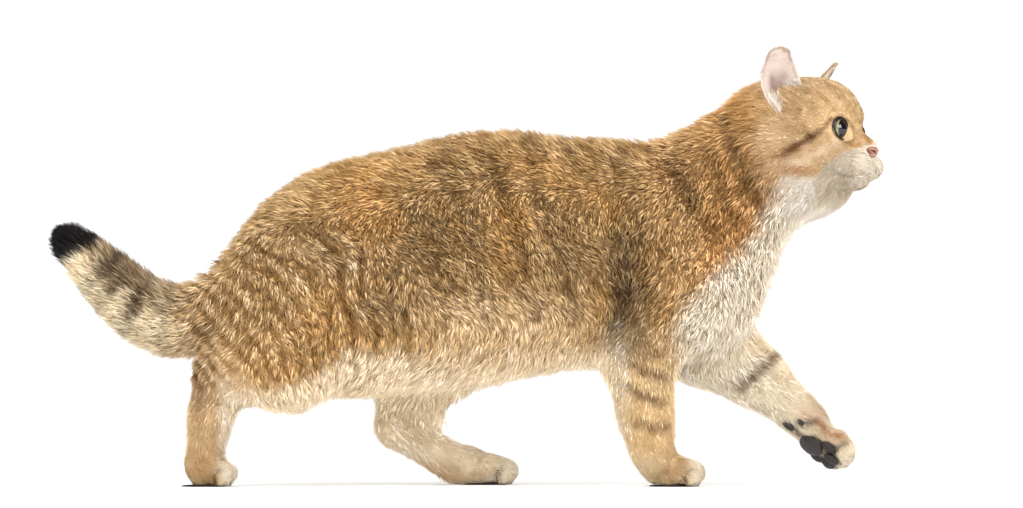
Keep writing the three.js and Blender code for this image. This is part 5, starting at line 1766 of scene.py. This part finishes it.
def nose_points(rings=64, around=96):
    """The nose leather: the solid's ellipsoid, broad above and drawn in below, with a dent for each nostril and a
    groove down its middle. radius = 1 - dents, where each dent is a bell curve of the distance from its place."""
    local, faces = ball(rings, around)
    y, z = np.abs(local[:, 1]), local[:, 2]
    ahead = step(local[:, 0], 0.05, 0.4)
    slit = np.exp(-(((y - 0.55 - 0.4 * (z + 0.1)) / 0.16) ** 2) - ((z + 0.16) / 0.3) ** 2)
    curl = np.exp(-(((y - 0.8) / 0.15) ** 2) - ((z - 0.0) / 0.13) ** 2)
    groove = np.exp(-((y / 0.08) ** 2)) * (1 - step(z, -0.3, 0.3))
    dent = (0.34 * slit + 0.22 * curl + 0.1 * groove) * ahead
    shape = local * (1 - dent)[:, None]
    shape[:, 1] *= 1 - 0.5 * step(-z, -0.2, 0.95) + 0.08 * step(z, 0, 0.5)
    shape[:, 2] = np.where(shape[:, 2] > 0, shape[:, 2] * 0.82, shape[:, 2])
    points = NOSE_AT + shape * (NOSE_HALF + 0.1)
    # Painted shade: the nostril dents and the curls beside them are darkened towards the slit tone.
    dark = (np.clip(1.2 * slit + 0.9 * curl, 0, 1) * ahead)[:, None]
    tone = NOSE_TONES["leather"] + (NOSE_TONES["slit"] - NOSE_TONES["leather"]) * dark
    rim = 0.7 * (np.maximum(step(z, 0.3, 0.8), step(y, 0.75, 1.0)) * (1 - dark[:, 0]))[:, None]
    tone = tone + (NOSE_TONES["edge"] - tone) * rim
    return from_head(points), faces, tone


points, faces, tone = nose_points()
nose = put("nose_leather", points, outward(points, faces), NOSE_SKIN, tone)
declare(nose, "bare_skin", "nose")


def cord(path, radius, around=8):
    """A closed round cord along a path: a circle of the given radius at each place, square to the run there."""
    path = np.asarray(path, float)
    run = unit(np.gradient(path, axis=0))
    side = unit(np.cross(run, (0.1, 0.2, 1.0)))
    top = np.cross(side, run)
    turn = full_turn(around)
    ring = side[:, None] * np.cos(turn)[:, None] + top[:, None] * np.sin(turn)[:, None]
    points = path[:, None] + ring * np.broadcast_to(radius, len(path))[:, None, None]
    return np.concatenate([points.reshape(-1, 3), path[:1], path[-1:]]), grid_faces(len(path), around)


def cords(name, paths, radii, finish_, slot):
    """One piece from several cords."""
    parts = [cord(path, radius) for path, radius in zip(paths, radii)]
    points, faces = joined([(p, outward(p, f)) for p, f in parts])
    declare(put(name, points, faces, finish_), slot)


LIP_LINE = smooth(MOUTH_ON, np.linspace(0.1, 2.6, 60)) - unit(MOUTH_ON - MOUTH_FROM).mean(0) * 0.35
LIP_THICK = 0.5 * np.sin(np.linspace(0.5, np.pi - 0.1, 60)) ** 0.7
cords("lips", [from_head(mirrored(LIP_LINE, side)) for side in (-1, 1)], [LIP_THICK] * 2, LIP_SKIN, "bare_skin")

# Whiskers: where each starts on the left pad, which way it goes and its length; then those over the eye.
WHISKERS = [
    ((57, 21, -23.5), (0.88, 0.42, 0.05), 38), ((57.3, 23.2, -27.5), (0.86, 0.44, -0.08), 39),
    ((56.2, 23.5, -31), (0.84, 0.44, -0.22), 39), ((59, 23, -33.2), (0.86, 0.38, -0.30), 36),
    ((57.5, 21.8, -37.4), (0.80, 0.40, -0.42), 33), ((62, 18.5, -26), (0.92, 0.36, -0.05), 33),
    ((62, 19.5, -31), (0.92, 0.34, -0.22), 34), ((65.5, 14.5, -28.5), (0.95, 0.28, -0.16), 28),
    ((47, 25, 15), (0.52, 0.42, 0.70), 18), ((44, 28, 15), (0.42, 0.52, 0.70), 16),
]
WHISKER_DROOP = 0.16  # how far a whisker's end sinks, as a share of its length
along = np.linspace(0, 1, 18)
for name, side in (("right", -1), ("left", 1)):
    paths = []
    for start, way, long in WHISKERS:
        start = onto(face_field, from_head(mirrored(np.array([start], float), side)), -0.6)[0]
        way = mirrored(unit(way), side) @ HEAD_AXES
        sink = np.array([0, 0, 1]) * (WHISKER_DROOP * long * along**2)[:, None]
        paths.append(start + way * (along * long)[:, None] - sink)
    thick = [(0.16 if long > 20 else 0.08) * (1 - 0.8 * along) for _, _, long in WHISKERS]
    cords(f"{name}_whiskers", paths, thick, WHISKER, "coat")

for name, leg in LEGS.items():
    local, faces = ball(20, 28)
    parts = []
    for at, half in leg["pads"]:
        swell = 1 + 0.05 * noise(local * 9 + np.array(at), 3, 51)
        pad = from_paw(local * swell[:, None] * half + at, leg)
        if name != "left_fore":
            pad[:, 2] = np.maximum(pad[:, 2], 0.15)
        parts.append((pad, outward(pad, faces)))
    declare(put(f"{name}_pads", *joined(parts), PAD_SKIN), "bare_skin")

# ------------------------------------------------------------------ floor, light and camera
FLOOR = finish("pale_floor", (0.93, 0.93, 0.93), 3.0, 0.02, 0.0001, 0.8, 0.05, 0.1)
FLOOR_HALF, FLOOR_Z = 20000.0, -0.2
floor_corners = [(x * FLOOR_HALF, y * FLOOR_HALF, FLOOR_Z) for x, y in ((-1, -1), (1, -1), (1, 1), (-1, 1))]
floor = put("floor", np.array(floor_corners), [np.array([[0, 1, 2, 3]])], FLOOR, flat=True)

WHITE_ROOM, DIM_ROOM = 1.3, 0.05  # the room's light, and what of it shows in gloss
world = bpy.data.worlds.new("white_room")
world.use_nodes = True
background = world.node_tree.nodes["Background"]
background.inputs["Color"].default_value = (1, 1, 1, 1)
ray = node(world.node_tree, "LightPath")
room = {"Value": ray.outputs["Is Glossy Ray"], "To Min": WHITE_ROOM, "To Max": DIM_ROOM}
world.node_tree.links.new(node(world.node_tree, "MapRange", room).outputs["Result"], background.inputs["Strength"])
SCENE.world = world


def area_light(name, at, aim, size, power):
    """A soft square light at a place in metres, turned towards another."""
    data = bpy.data.lights.new(name, "AREA")
    data.shape, data.size, data.energy = "SQUARE", size, power
    lamp = bpy.data.objects.new(name, data)
    lamp.location = at
    lamp.rotation_euler = (Vector(aim) - Vector(at)).to_track_quat("-Z", "Y").to_euler()
    SCENE.collection.objects.link(lamp)
    return lamp


area_light("key", (-0.9, -1.8, 2.2), (0, 0, 0.15), 1.3, 60)
area_light("front_fill", (1.7, -1.9, 0.5), (0.1, 0, 0.18), 1.6, 30).visible_glossy = False
area_light("eye_light", (1.03, -1.25, 0.88), (0.32, -0.05, 0.31), 0.8, 22).visible_diffuse = False

IMAGE = (1023, 508)
SCALE = 0.88  # mm for each image step at the cat's middle plane
CAMERA_AT = (41.36, -3000.0, 60.0)
MIDDLE_ROW, HORIZON_ROW = 254.0, 417.3
camera_data = bpy.data.cameras.new("camera")
camera_data.sensor_width = 36.0
camera_data.lens = camera_data.sensor_width * -CAMERA_AT[1] / (IMAGE[0] * SCALE)
camera_data.shift_y = (HORIZON_ROW - MIDDLE_ROW) / IMAGE[0]
camera_data.clip_end = 100.0
camera = bpy.data.objects.new("camera", camera_data)
camera.location = [c * MM for c in CAMERA_AT]
camera.rotation_euler = (np.pi / 2, 0, 0)
SCENE.collection.objects.link(camera)
SCENE.camera = camera
SCENE.view_settings.view_transform = "Standard"
SCENE.view_settings.look = "None"
